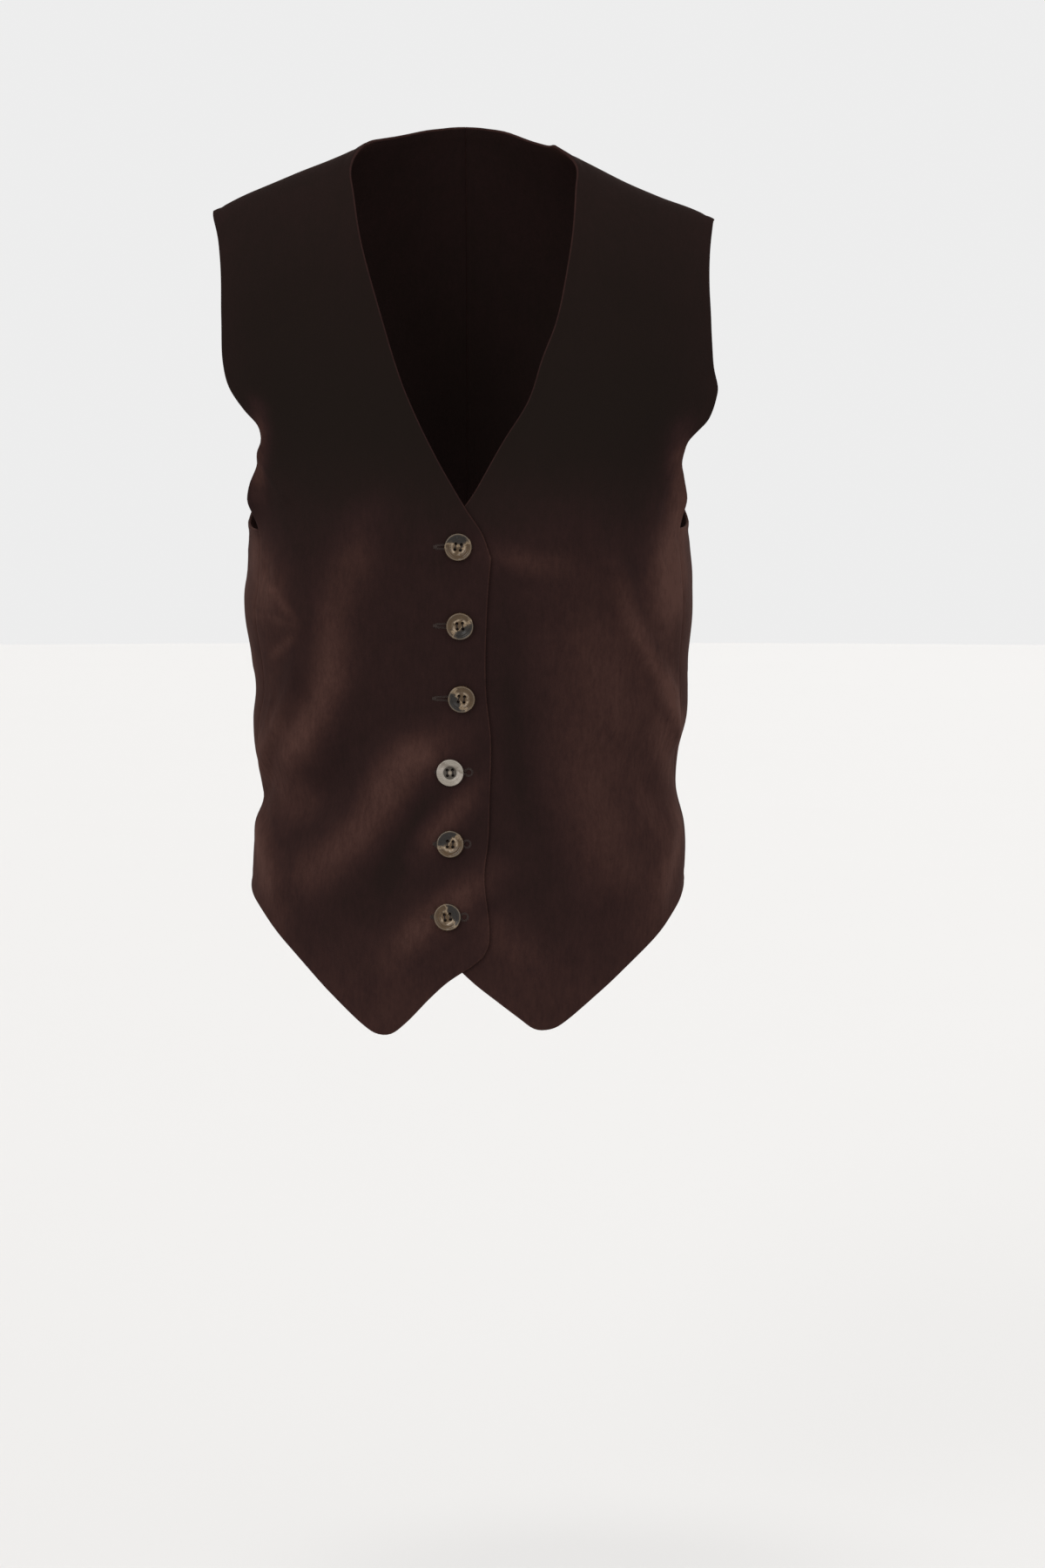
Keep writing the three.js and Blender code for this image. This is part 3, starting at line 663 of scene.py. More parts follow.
class PatternEdge:
    """Smooth edge of a panel through places of angle and level."""

    divisions = 600

    def __init__(self, places: np.ndarray, rules: PatternRules) -> None:
        """Samples the edge closely.

        Args:
            places: Angle and level of the edge's points, one to a row.
            rules: Pattern rules, for the length of a degree.
        """
        self.scale = rules.scale
        points = np.asarray(places, float) * self.scale
        padded = np.vstack([2 * points[0] - points[1], points, 2 * points[-1] - points[-2]])
        ts = np.linspace(0, len(points) - 1, self.divisions + 1)
        i = np.minimum(ts.astype(int), len(points) - 2)
        w = (ts - i)[:, None]
        p0, p1, p2, p3 = (padded[i + k] for k in range(4))
        chords = (p1 - p0, p2 - p1, p3 - p2)
        dt0, dt1, dt2 = (np.linalg.norm(chord, axis=1, keepdims=True) ** 0.5 for chord in chords)
        t1 = ((p1 - p0) / dt0 - (p2 - p0) / (dt0 + dt1) + (p2 - p1) / dt1) * dt1
        t2 = ((p2 - p1) / dt1 - (p3 - p1) / (dt1 + dt2) + (p3 - p2) / dt2) * dt1
        c2, c3 = -3 * p1 + 3 * p2 - 2 * t1 - t2, 2 * p1 - 2 * p2 + t1 + t2
        self.line = p1 + t1 * w + c2 * w**2 + c3 * w**3

    def places(self, count: int) -> np.ndarray:
        """Evenly spaced places along the edge.

        Args:
            count: Number of steps.

        Returns:
            Angle and level, one place to a row.
        """
        steps = np.linalg.norm(np.diff(self.line, axis=0), axis=1)
        along = np.concatenate([[0], np.cumsum(steps)])
        at = np.linspace(0, along[-1], count + 1)
        line = np.stack([np.interp(at, along, self.line[:, k]) for k in range(2)], axis=1)
        return line / self.scale


def join_edges(*edges: np.ndarray) -> np.ndarray:
    """One edge from several that follow each other."""
    return np.vstack([edges[0]] + [edge[1:] for edge in edges[1:]])


def patch(top: np.ndarray, bottom: np.ndarray, inner: np.ndarray, outer: np.ndarray) -> np.ndarray:
    """Places between four edges that share their corners.

    Args:
        top: Top edge, from the inner to the outer corner.
        bottom: Bottom edge, from the inner to the outer corner.
        inner: Inner edge, from the top down.
        outer: Outer edge, from the top down.

    Returns:
        Grid of places, as rows, columns and (angle, level).
    """
    s = np.linspace(0, 1, len(inner))[:, None, None]
    u = np.linspace(0, 1, len(top))[None, :, None]
    straight = inner[:, None] * (1 - u) + outer[:, None] * u
    bows = [edge[None] - (edge[0] * (1 - u) + edge[-1] * u) for edge in (top, bottom)]
    return straight + (1 - s) ** 3 * bows[0] + s**3 * bows[1]


class Draper:
    """Lays places of the pattern on the form with its folds, laps and edge finish."""

    unevenness = Unevenness()
    painted_light_rules = PaintedLightRules()
    def __init__(self, form: WornForm, rules: PatternRules, face: Face, laps: bool) -> None:
        """Keeps what the cloth follows.

        Args:
            form: Worn form.
            rules: Pattern rules.
            face: Front or back, for the shoulder's arch.
            laps: Whether the panel lies under the other front.
        """
        self.form, self.rules, self.laps = form, rules, laps
        self.arch = form.arches[face]
        self.seams: list[np.ndarray] = []
        self.free: list[np.ndarray] = []

    def fold_sum(self, rows: Sequence[Fold], angle: np.ndarray, z: np.ndarray) -> np.ndarray:
        """Summed height of folds at angles and heights."""
        points = np.stack([angle, z], axis=1) * self.rules.scale
        total = np.zeros(len(points))
        for row in rows:
            distance = distance_to_path(points, np.array(row.path, float) * self.rules.scale)
            total += row.height * np.exp(-((distance / row.width) ** 2))
        return total

    def fold_relief(self, angle: np.ndarray, z: np.ndarray) -> np.ndarray:
        """Relief of the folds and of the cloth's soft unevenness."""
        turned = np.abs(angle)
        at_front = smoothstep(turned, *self.rules.flat_lap)
        at_back = 1 - smoothstep(turned, *self.rules.flat_centre_back)
        folds = self.fold_sum(FOLDS, angle, z) + self.fold_sum(CREASES, angle, z)
        uneven = self.unevenness.relief(angle * self.rules.mm_per_degree, z)
        return (folds + uneven) * at_front * at_back

    def lap_depth(self, x: np.ndarray) -> np.ndarray:
        """Depth by which the panel lies under the other front."""
        if not self.laps:
            return np.zeros_like(x)
        deep = self.rules.cloth + self.rules.lap_gap
        return deep * (1 - smoothstep(x, self.rules.lap_end, self.rules.lap_rise))

    def edge_relief(self, base: np.ndarray) -> np.ndarray:
        """Dip along the seams, and the turned welt along the free edges."""
        rules = self.rules
        relief = np.zeros(len(base))
        for line in self.seams:
            relief -= rules.seam_dip * np.exp(-((distance_to_path(base, line) / rules.seam_dip_width) ** 2))
        if self.free:
            away = np.min([distance_to_path(base, line) for line in self.free], axis=0)
            relief += rules.welt_height * np.exp(-((away / rules.welt_width) ** 4))
            groove = (away - rules.welt_width - rules.welt_groove_width) / rules.welt_groove_width
            relief -= rules.welt_groove * np.exp(-(groove**2))
        return relief

    def surface(self, angle: np.ndarray, level: np.ndarray) -> tuple[np.ndarray, np.ndarray]:
        """Outer face of the cloth.

        Args:
            angle: Angles in degrees.
            level: Lengths down the cloth.

        Returns:
            Points and outward directions, one to a row.
        """
        base = self.form.point(angle, level, self.arch)
        normal = self.form.normal(angle, level, self.arch)
        relief = self.fold_relief(angle, base[:, 2]) - self.lap_depth(base[:, 0]) + self.edge_relief(base)
        return base + normal * relief[:, None], normal

    def surface_at(self, x: np.ndarray, z: np.ndarray) -> tuple[np.ndarray, np.ndarray]:
        """Outer face of a front at places along X and Z, as points and outward directions."""
        x, z = np.atleast_1d(np.asarray(x, float)), np.atleast_1d(np.asarray(z, float))
        angle = np.degrees(np.arcsin(x / self.form.half_width(x, z)))
        return self.surface(angle, self.form.level_at(x, z, self.arch))

    def painted_light(self, angle: np.ndarray, z: np.ndarray) -> np.ndarray:
        """Tone of painted sheen and shade, from 0 where the velvet looks deepest to 1 where it looks
        lightest.

        Light bands that cross don't add up: the lighter one tells most.

        Args:
            angle: Angles in degrees.
            z: Heights.

        Returns:
            The tone at each place.
        """
        points = np.stack([angle, z], axis=1) * self.rules.scale
        light, dark = np.zeros(len(points)), np.zeros(len(points))
        for row in PAINTED_LIGHT_BANDS:
            distance, along = nearest_on_path(points, np.array(row.path, float) * self.rules.scale)
            tone = row.tone * self.painted_light_rules.fade(along) * np.exp(-((distance / row.width) ** 2))
            light += np.maximum(tone, 0) ** 2
            dark += np.minimum(tone, 0)
        by_height = TableCurve(*zip(*PAINTED_LIGHT_BY_HEIGHT))(z)
        return np.clip(by_height + self.painted_light_rules.sides(angle, z) + np.sqrt(light) + dark, 0, 1)


@dataclass
class ClothPanel:
    """One cut panel of velvet with its plain inner side, as a thin closed shell."""

    name: str
    side: Side
    face: Face
    form: WornForm
    rules: PatternRules
    flat: tuple[float, float]
    cut_area: float

    def __post_init__(self) -> None:
        """Makes the draper and the panel's patches."""
        laps = self.face is Face.FRONT and self.side is Side.LEFT
        self.draper = Draper(self.form, self.rules, self.face, laps)
        self.arch = self.form.arches[self.face]
        patches, seams, free = self.front_patches() if self.face is Face.FRONT else self.back_patches()
        self.patches, self.seam_places = patches, seams
        self.draper.seams, self.draper.free = (
            [self.form.point(*line.T, self.arch) for line in edges] for edges in (seams, free)
        )

    def from_out(self, rows: Sequence[Outward]) -> np.ndarray:
        """Places of edge rows that are given by their distance out."""
        x = self.side.sign * np.array([row.out for row in rows])
        z = np.array([row.z for row in rows])
        near = np.degrees(np.arcsin(x / self.form.half_width(x, z)))
        angle = near if self.face is Face.FRONT else self.side.sign * 180 - near
        return np.stack([angle, self.form.level_at(x, z, self.arch)], axis=1)

    def from_angle(self, rows: Sequence[Turned]) -> np.ndarray:
        """Places of edge rows that are given by their angle."""
        z = np.array([row.z for row in rows])
        own = np.array([row.angle for row in rows])
        x = self.side.sign * self.form.widths[self.side](z) * np.sin(np.radians(own))
        return np.stack([self.side.sign * own, self.form.level_at(x, z, self.arch)], axis=1)

    def shoulder_place(self, out: float) -> np.ndarray:
        """Place on the shoulder seam at a distance out."""
        z = self.form.shoulders[self.side](out)
        near = math.degrees(math.asin(out / float(self.form.widths[self.side](z))))
        own = near if self.face is Face.FRONT else 180 - near
        return np.array([[self.side.sign * own, 0.0]])

    def centre_back(self, z: float) -> np.ndarray:
        """Place on the centre back seam at a height."""
        x = self.side.sign * OFF_CENTRE
        return np.array([[self.side.sign * 180.0, float(self.form.level_at(x, z, self.arch))]])

    def edge(self, places: np.ndarray, count: int) -> np.ndarray:
        """Evenly spaced places along a smooth edge."""
        return PatternEdge(places, self.rules).places(count * self.rules.subdivide)

    def front_patches(self) -> tuple[list[np.ndarray], list[np.ndarray], list[np.ndarray]]:
        """Patch, seam lines and free edges of a front."""
        rules = self.rules
        neck_top = self.shoulder_place(NECK_POINT[self.side])
        tip = self.shoulder_place(SHOULDER_POINT[self.side])
        neck = np.vstack([neck_top, self.from_out(NECK_EDGE[self.side])])
        placket = np.vstack([neck[-1:], self.from_out(PLACKET_EDGE[self.side])])
        seam = self.from_angle(SIDE_SEAM[self.side])
        armhole = np.vstack([tip, self.from_angle(FRONT_ARMHOLE[self.side])[:-1], seam[:1]])
        hem = np.vstack([placket[-1:], self.from_out(HEM_EDGE[self.side]), seam[-1:]])
        shoulder_line = self.edge(np.vstack([neck_top, tip]), rules.front_columns)
        hem_line = self.edge(hem, rules.front_columns)
        neck_line, armhole_line = (self.edge(places, rules.neck_rows) for places in (neck, armhole))
        placket_line, seam_line = (self.edge(places, rules.seam_rows) for places in (placket, seam))
        inner, outer = join_edges(neck_line, placket_line), join_edges(armhole_line, seam_line)
        grid = patch(shoulder_line, hem_line, inner, outer)
        return [grid], [shoulder_line, seam_line], [neck_line, placket_line, hem_line, armhole_line]

    def back_patches(self) -> tuple[list[np.ndarray], list[np.ndarray], list[np.ndarray]]:
        """Patches, seam lines and free edges of a half back."""
        rules = self.rules
        drops = [(row.out, float(self.form.shoulders[self.side](row.out)) - row.drop) for row in BACK_NECK]
        neck_top = self.shoulder_place(NECK_POINT[self.side])
        tip = self.shoulder_place(SHOULDER_POINT[self.side])
        neck = np.vstack(
            [self.centre_back(drops[0][1]), self.from_out([Outward(*row) for row in drops[1:]]), neck_top]
        )
        seam = self.from_angle(SIDE_SEAM[self.side])
        armhole = np.vstack([tip, self.from_angle(BACK_ARMHOLE)])
        underarm = np.vstack([self.from_angle(BACK_UNDERARM), seam[:1]])
        centre_middle = self.centre_back(CENTRE_BACK_AT_UNDERARM)
        centre_hem = self.centre_back(CENTRE_BACK_HEM)
        hem = np.vstack([centre_hem, self.from_angle(BACK_HEM)[::-1], seam[-1:]])

        upper_columns = rules.neck_columns + rules.shoulder_columns
        neck_line = self.edge(neck, rules.neck_columns)
        shoulder_line = self.edge(np.vstack([neck_top, tip]), rules.shoulder_columns)
        middle = self.edge(np.vstack([centre_middle, underarm[:1]]), upper_columns)
        upper_centre = self.edge(np.vstack([neck[:1], centre_middle]), rules.armhole_rows)
        armhole_line = self.edge(armhole, rules.armhole_rows)
        underarm_line = self.edge(underarm, rules.underarm_columns)
        hem_line = self.edge(hem, upper_columns + rules.underarm_columns)
        lower_centre = self.edge(np.vstack([centre_middle, centre_hem]), rules.seam_rows)
        seam_line = self.edge(seam, rules.seam_rows)
        upper = patch(join_edges(neck_line, shoulder_line), middle, upper_centre, armhole_line)
        lower = patch(join_edges(middle, underarm_line), hem_line, lower_centre, seam_line)
        seams = [shoulder_line, seam_line, join_edges(upper_centre, lower_centre)]
        return [upper, lower], seams, [neck_line, hem_line, join_edges(armhole_line, underarm_line)]

    def sheet(self) -> tuple[np.ndarray, list[tuple[int, int, int, int]]]:
        """Welded places and the quads of the panel, turned outwards."""
        flat = np.vstack([grid.reshape(-1, 2) for grid in self.patches])
        keys = np.round(flat, WELD_DECIMALS)
        _, first, inverse = np.unique(keys, axis=0, return_index=True, return_inverse=True)
        inverse, places = np.ravel(inverse), flat[first]
        quads, offset = [], 0
        for grid in self.patches:
            rows, columns = grid.shape[:2]
            index = inverse[offset : offset + rows * columns].reshape(rows, columns)
            corners = np.stack([index[:-1, :-1], index[1:, :-1], index[1:, 1:], index[:-1, 1:]], axis=-1)
            quads.append(corners.reshape(-1, 4))
            offset += rows * columns
        faces = np.vstack(quads)
        base = self.form.point(*places.T, self.arch)
        normal = self.form.normal(*places.T, self.arch)
        a, b, d = base[faces[:, 0]], base[faces[:, 1]], base[faces[:, 3]]
        facing = (np.cross(b - a, d - a) * normal[faces[:, 0]]).sum()
        turned = faces if facing > 0 else faces[:, ::-1]
        return places, [tuple(int(i) for i in quad) for quad in turned]

    def rim(self, quads: Sequence[tuple[int, int, int, int]]) -> list[int]:
        """Places round the panel's edge, in the order in which the quads pass them."""
        directed = {(quad[k], quad[(k + 1) % 4]) for quad in quads for k in range(4)}
        following = {a: b for a, b in directed if (b, a) not in directed}
        loop = [next(iter(sorted(following)))]
        while following[loop[-1]] != loop[0]:
            loop.append(following[loop[-1]])
        return loop

    def on_seam(self, places: np.ndarray, loop: Sequence[int]) -> np.ndarray:
        """Whether each place of the rim lies on a seam."""
        keys = {tuple(row) for line in self.seam_places for row in np.round(line, SEAM_DECIMALS)}
        return np.array([tuple(row) in keys for row in np.round(places[list(loop)], SEAM_DECIMALS)])

    def build(self) -> bpy.types.Object:
        """Shell of the panel: outer face, inner face and the rolled edge between them."""
        places, quads = self.sheet()
        outer, normal = self.draper.surface(*places.T)
        loop = self.rim(quads)
        ring, ring_normal = outer[loop], normal[loop]
        before, after = ring - np.roll(ring, 1, axis=0), np.roll(ring, -1, axis=0) - ring
        sides = [np.cross(step, ring_normal) for step in (before, after)]
        sides = [side / np.linalg.norm(side, axis=1, keepdims=True) for side in sides]
        away = sides[0] + sides[1]
        reach = np.linalg.norm(away, axis=1, keepdims=True)
        mitre = np.clip(4 / np.maximum(reach**2, TINY), 1, self.rules.widest_mitre)
        away = away / reach * np.sqrt(mitre)
        seam = self.on_seam(places, loop)
        roll = np.where(seam, self.rules.seam_roll, self.rules.edge_roll)[:, None]
        half = self.rules.cloth / 2

        inner = outer - normal * self.rules.cloth
        count = len(outer)
        outer[loop] = ring - away * roll
        inner[loop] = ring - away * roll - ring_normal * self.rules.cloth
        points, rings = [outer, inner], [np.array(loop)]
        for k in range(1, self.rules.roll_steps):
            turn = math.pi / 2 - math.pi * k / self.rules.roll_steps
            row = ring - away * roll * (1 - math.cos(turn)) - ring_normal * half * (1 - math.sin(turn))
            rings.append(2 * count + (k - 1) * len(loop) + np.arange(len(loop)))
            points.append(row)
        rings.append(np.array(loop) + count)
        faces = list(quads) + [tuple(i + count for i in reversed(quad)) for quad in quads]
        for upper, lower in zip(rings[:-1], rings[1:]):
            for k in range(len(loop)):
                n = (k + 1) % len(loop)
                faces.append((int(upper[n]), int(upper[k]), int(lower[k]), int(lower[n])))
        materials = [0] * len(quads) + [1] * len(quads) + [0] * (len(faces) - 2 * len(quads))

        every = np.vstack([places, places] + [places[loop]] * (self.rules.roll_steps - 1))
        obj = mesh_object(self.name, np.vstack(points), faces)
        obj.data.polygons.foreach_set("material_index", materials)
        heights = np.vstack(points)[:, 2]
        cloth = np.stack([every[:, 0] * self.rules.mm_per_degree, every[:, 1], heights * 0], axis=1) * MM
        set_point_attribute(obj.data, "cloth", "FLOAT_VECTOR", cloth)
        # Painted sheen and shade tone of each point.
        painted_light = self.draper.painted_light(every[:, 0], heights)
        # The rolled edges get a painted highlight.
        painted_light[2 * count :] += self.rules.rolled_edge_painted_highlight
        set_point_attribute(obj.data, "painted_light", "FLOAT", painted_light)
        return obj

    def dress(self, obj: bpy.types.Object, velvet: bpy.types.Material, inside: bpy.types.Material) -> None:
        """Gives the panel its cloths, hides the model part that it replaces and hangs it on the body.

        Args:
            obj: The panel.
            velvet: Cloth of the outer face and the edge.
            inside: Cloth of the inner face.
        """
        set_materials(obj.data, velvet, inside)
        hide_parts(self.name.removeprefix("velvet_"))
        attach(obj, BODY)
        LOG.info("%s: %d faces", obj.name, len(obj.data.polygons))


def smooth_mesh(
    name: str, points_mm: np.ndarray, faces: Sequence[Sequence[int]], *materials: bpy.types.Material
) -> bpy.types.Mesh:
    """Smooth mesh from points in millimetres.

    Args:
        name: Name of the mesh.
        points_mm: Points, one to a row.
        faces: Corners of each face.
        *materials: Its materials.

    Returns:
        The new mesh.
    """
    mesh = bpy.data.meshes.new(name)
    mesh.from_pydata((np.asarray(points_mm, float) * MM).tolist(), [], [tuple(face) for face in faces])
    mesh.polygons.foreach_set("use_smooth", [True] * len(mesh.polygons))
    mesh.update()
    set_materials(mesh, *materials)
    return mesh


def set_materials(mesh: bpy.types.Mesh, *materials: bpy.types.Material) -> None:
    """Gives a mesh its materials, in place of any others."""
    mesh.materials.clear()
    for material in materials:
        mesh.materials.append(material)


def scene_object(name: str, data: bpy.types.ID) -> bpy.types.Object:
    """New object in the scene."""
    obj = bpy.data.objects.new(name, data)
    bpy.context.scene.collection.objects.link(obj)
    return obj


def mesh_object(name: str, points_mm: np.ndarray, faces: Sequence[Sequence[int]]) -> bpy.types.Object:
    """Smooth mesh object at the origin, in the scene, from points in millimetres."""
    return scene_object(name, smooth_mesh(name, points_mm, faces))


def set_point_attribute(mesh: bpy.types.Mesh, name: str, kind: str, values: np.ndarray) -> None:
    """Writes one value for each point of a mesh, in place of any of the same name.

    Args:
        mesh: The mesh.
        name: Name of the attribute.
        kind: FLOAT or FLOAT_VECTOR.
        values: The values, one to a row.
    """
    old = mesh.attributes.get(name)
    if old is not None:
        mesh.attributes.remove(old)
    layer = mesh.attributes.new(name, kind, "POINT")
    layer.data.foreach_set("value" if kind == "FLOAT" else "vector", np.ravel(values).astype(np.float32))


def read_point_attribute(mesh: bpy.types.Mesh, name: str, kind: str) -> np.ndarray:
    """Values of a point attribute, one to a row."""
    width = 1 if kind == "FLOAT" else 3
    values = np.zeros(len(mesh.vertices) * width, np.float32)
    mesh.attributes[name].data.foreach_get("value" if kind == "FLOAT" else "vector", values)
    return values.reshape(-1, width)


def evaluated_mesh(obj: bpy.types.Object) -> bpy.types.Mesh:
    """Plain mesh of an object with its modifiers."""
    depsgraph = bpy.context.evaluated_depsgraph_get()
    depsgraph.update()
    return bpy.data.meshes.new_from_object(obj.evaluated_get(depsgraph))


def cut_away(obj: bpy.types.Object, cutter: bpy.types.Object) -> None:
    """Cuts the cutter's solids out of an object and removes the cutter.

    Args:
        obj: What is cut.
        cutter: Closed solids.
    """
    modifier = obj.modifiers.new("cut", "BOOLEAN")
    modifier.operation, modifier.solver, modifier.object = "DIFFERENCE", "EXACT", cutter
    cut = evaluated_mesh(obj)
    obj.modifiers.remove(modifier)
    old = obj.data
    cut.name = old.name
    obj.data = cut
    bpy.data.objects.remove(cutter)
    bpy.data.meshes.remove(old)


@dataclass
class Buttonhole:
    """Worked keyhole buttonhole: a slit that opens round the shank and ends in a round eye."""

    row: ButtonRow
    length: float = 21.0
    eye_radius: float = 1.8
    half_width: float = 0.32
    half_width_at_shank: float = 1.7
    spread: float = 8.0
    reach: float = 9.0
    stations: int = 14
    stitch_reach: float = 1.3
    stitch_margin: float = 0.25
    tack_length: float = 3.0
    tack_before: float = 1.5
    tack_after: float = 0.6
    tack_stations: int = 6

    @property
    def eye(self) -> float:
        """Place of the eye's centre along X."""
        return self.row.tail + self.length

    def half_opening(self, x: np.ndarray) -> np.ndarray:
        """Half width of the slit at places along X."""
        extra = self.half_width_at_shank - self.half_width
        return self.half_width + extra * np.exp(-(((x - self.row.button) / self.spread) ** 2))

    def outline(self, margin: float = 0.0) -> np.ndarray:
        """Keyhole outline as (x, height over the slit), round from the lower tail end.

        Args:
            margin: How far outside the hole's edge the outline runs.

        Returns:
            Points of the outline, one to a row, not closed.
        """
        radius = self.eye_radius + margin
        lip = self.half_width + margin
        neck = math.asin(min(lip / radius, 0.999))
        slit_end = self.eye - radius * math.cos(neck)
        x = np.linspace(self.row.tail, slit_end, self.stations, endpoint=False)
        half = self.half_opening(x) + margin
        turns = np.linspace(-math.pi + neck, math.pi - neck, self.stations + 1)
        eye = np.stack([self.eye + radius * np.cos(turns), radius * np.sin(turns)], axis=1)
        lower, upper = np.stack([x, -half], axis=1), np.stack([x, half], axis=1)[::-1]
        return np.vstack([lower, eye, upper])

    def cutter(self, draper: Draper) -> tuple[np.ndarray, Faces]:
        """Closed prism that cuts the hole.

        Args:
            draper: Draper of the cut panel.

        Returns:
            Points and faces.
        """
        outline = self.outline()
        points, normals = draper.surface_at(outline[:, 0], self.row.z + outline[:, 1])
        middle = normals.mean(axis=0)
        both = np.vstack([points + middle * self.reach / 2, points - middle * self.reach / 2])
        n = len(outline)
        sides = [(k, (k + 1) % n, (k + 1) % n + n, k + n) for k in range(n)]
        return both, [tuple(reversed(range(n))), tuple(range(n, 2 * n))] + sides

    def rows(self) -> list["StitchRow"]:
        """Rows of stitches: the purled edge, the fanned legs and the bar tack at the tail."""
        z, tail, margin = self.row.z, self.row.tail, self.stitch_margin
        edge, legs = self.outline(margin), self.outline(margin + self.stitch_reach / 2)
        tack_x = np.linspace(tail - self.tack_before, tail + self.tack_after, self.tack_stations)
        tack = np.stack([tack_x, np.zeros(len(tack_x))], axis=1)
        purls = StitchRow(edge, z, lift=0.3, length=0.6, width=0.6, height=0.42)
        fan = StitchRow(legs, z, lift=0.1, length=self.stitch_reach, width=0.4, height=0.36)
        bar = StitchRow(tack, z, 0.34, self.tack_length, 0.44, 0.44, spacing=0.46, upright=True)
        return [purls, fan, bar]


class StitchRow(NamedTuple):
    """Row of like stitches along an outline: where it lies, its spacing and each stitch's size."""

    outline: np.ndarray
    z: float
    lift: float
    length: float
    width: float
    height: float
    spacing: float = 0.62
    upright: bool = False


class NodeTree:
    """Nodes of a shader or of geometry, added and linked by name."""

    def __init__(self, tree: bpy.types.NodeTree) -> None:
        """Keeps the tree."""
        self.tree = tree

    def feed(self, sockets: Sequence[bpy.types.NodeSocket], *values: Any) -> None:
        """Sets or links inputs in their order.

        Args:
            sockets: The inputs.
            *values: A value for each, or the output that feeds it.
        """
        for socket, value in zip(sockets, values):
            if isinstance(value, bpy.types.NodeSocket):
                self.tree.links.new(value, socket)
            elif isinstance(value, tuple) and socket.type == "RGBA":
                socket.default_value = (*value, 1.0)[:4]
            else:
                socket.default_value = value

    def set(self, node: bpy.types.Node, **values: Any) -> None:
        """Sets or links a node's inputs by their names, with _ for a space."""
        for name, value in values.items():
            self.feed([node.inputs[name.replace("_", " ")]], value)

    def add(self, kind: str, settings: dict[str, Any] | None = None, **values: Any) -> bpy.types.Node:
        """New node.

        Args:
            kind: Type of node.
            settings: Properties of the node.
            **values: Input values or linked outputs by input name, with _ for a space.

        Returns:
            The node.
        """
        node = self.tree.nodes.new(kind)
        for name, value in (settings or {}).items():
            setattr(node, name, value)
        self.set(node, **values)
        return node

    def scaled(self, vector: Any, factors: Any) -> bpy.types.NodeSocket:
        """Vector multiplied along each of its axes."""
        node = self.add("ShaderNodeVectorMath", {"operation": "MULTIPLY"})
        self.feed(node.inputs, vector, factors)
        return node.outputs[0]

    def math(
        self, operation: str, first: Any, second: Any = 0.0, clamp: bool = False
    ) -> bpy.types.NodeSocket:
        """Output of a Math node.

        Args:
            operation: The operation.
            first: First value or output.
            second: Second value or output.
            clamp: Whether the result is kept from 0 to 1.

        Returns:
            The result.
        """
        node = self.add("ShaderNodeMath", {"operation": operation, "use_clamp": clamp})
        self.feed(node.inputs, first, second)
        return node.outputs[0]

    def blend(self, first: Any, second: Any, share: float) -> bpy.types.NodeSocket:
        """Sum of two values, the first by its share and the second by the rest."""
        own, rest = self.math("MULTIPLY", first, share), self.math("MULTIPLY", second, 1 - share)
        return self.math("ADD", own, rest)

    def mix(self, factor: Any, first: Any, second: Any) -> bpy.types.NodeSocket:
        """Mix of two colours.

        Args:
            factor: Share of the second colour.
            first: First colour or output.
            second: Second colour or output.

        Returns:
            The mixed colour.
        """
        node = self.add("ShaderNodeMix", {"data_type": "RGBA"})
        self.feed((node.inputs[0], node.inputs[6], node.inputs[7]), factor, first, second)
        return node.outputs[2]

    def noise(
        self, vector: Any, scale: float, detail: float = 3.0, rough: float = 0.55
    ) -> bpy.types.NodeSocket:
        """Noise from 0 to 1.

        Args:
            vector: Coordinates.
            scale: Cells for each metre.
            detail: Number of finer layers.
            rough: Strength of the finer layers.

        Returns:
            The noise.
        """
        node = self.add("ShaderNodeTexNoise", Vector=vector, Scale=scale, Detail=detail, Roughness=rough)
        return node.outputs["Fac"]

    def attribute(self, name: str) -> bpy.types.Node:
        """Node that reads an attribute of the piece."""
        return self.add("ShaderNodeAttribute", {"attribute_name": name})

    def bump(self, height: Any, strength: float, distance: float) -> bpy.types.NodeSocket:
        """Normal of a fine relief, by its height, its strength and its depth in metres."""
        node = self.add("ShaderNodeBump", Height=height, Strength=strength, Distance=distance)
        return node.outputs["Normal"]

    def ramp(self, factor: Any, stops: Sequence[tuple[float, Colour]]) -> bpy.types.NodeSocket:
        """Colour along a ramp.

        Args:
            factor: Place along the ramp.
            stops: Place and colour of each stop.

        Returns:
            The colour.
        """
        node = self.add("ShaderNodeValToRGB", Fac=factor)
        elements = node.color_ramp.elements
        while len(elements) < len(stops):
            elements.new(1.0)
        for element, (place, colour) in zip(elements, stops):
            element.position = place
            element.color = (*colour, 1.0)
        return node.outputs["Color"]


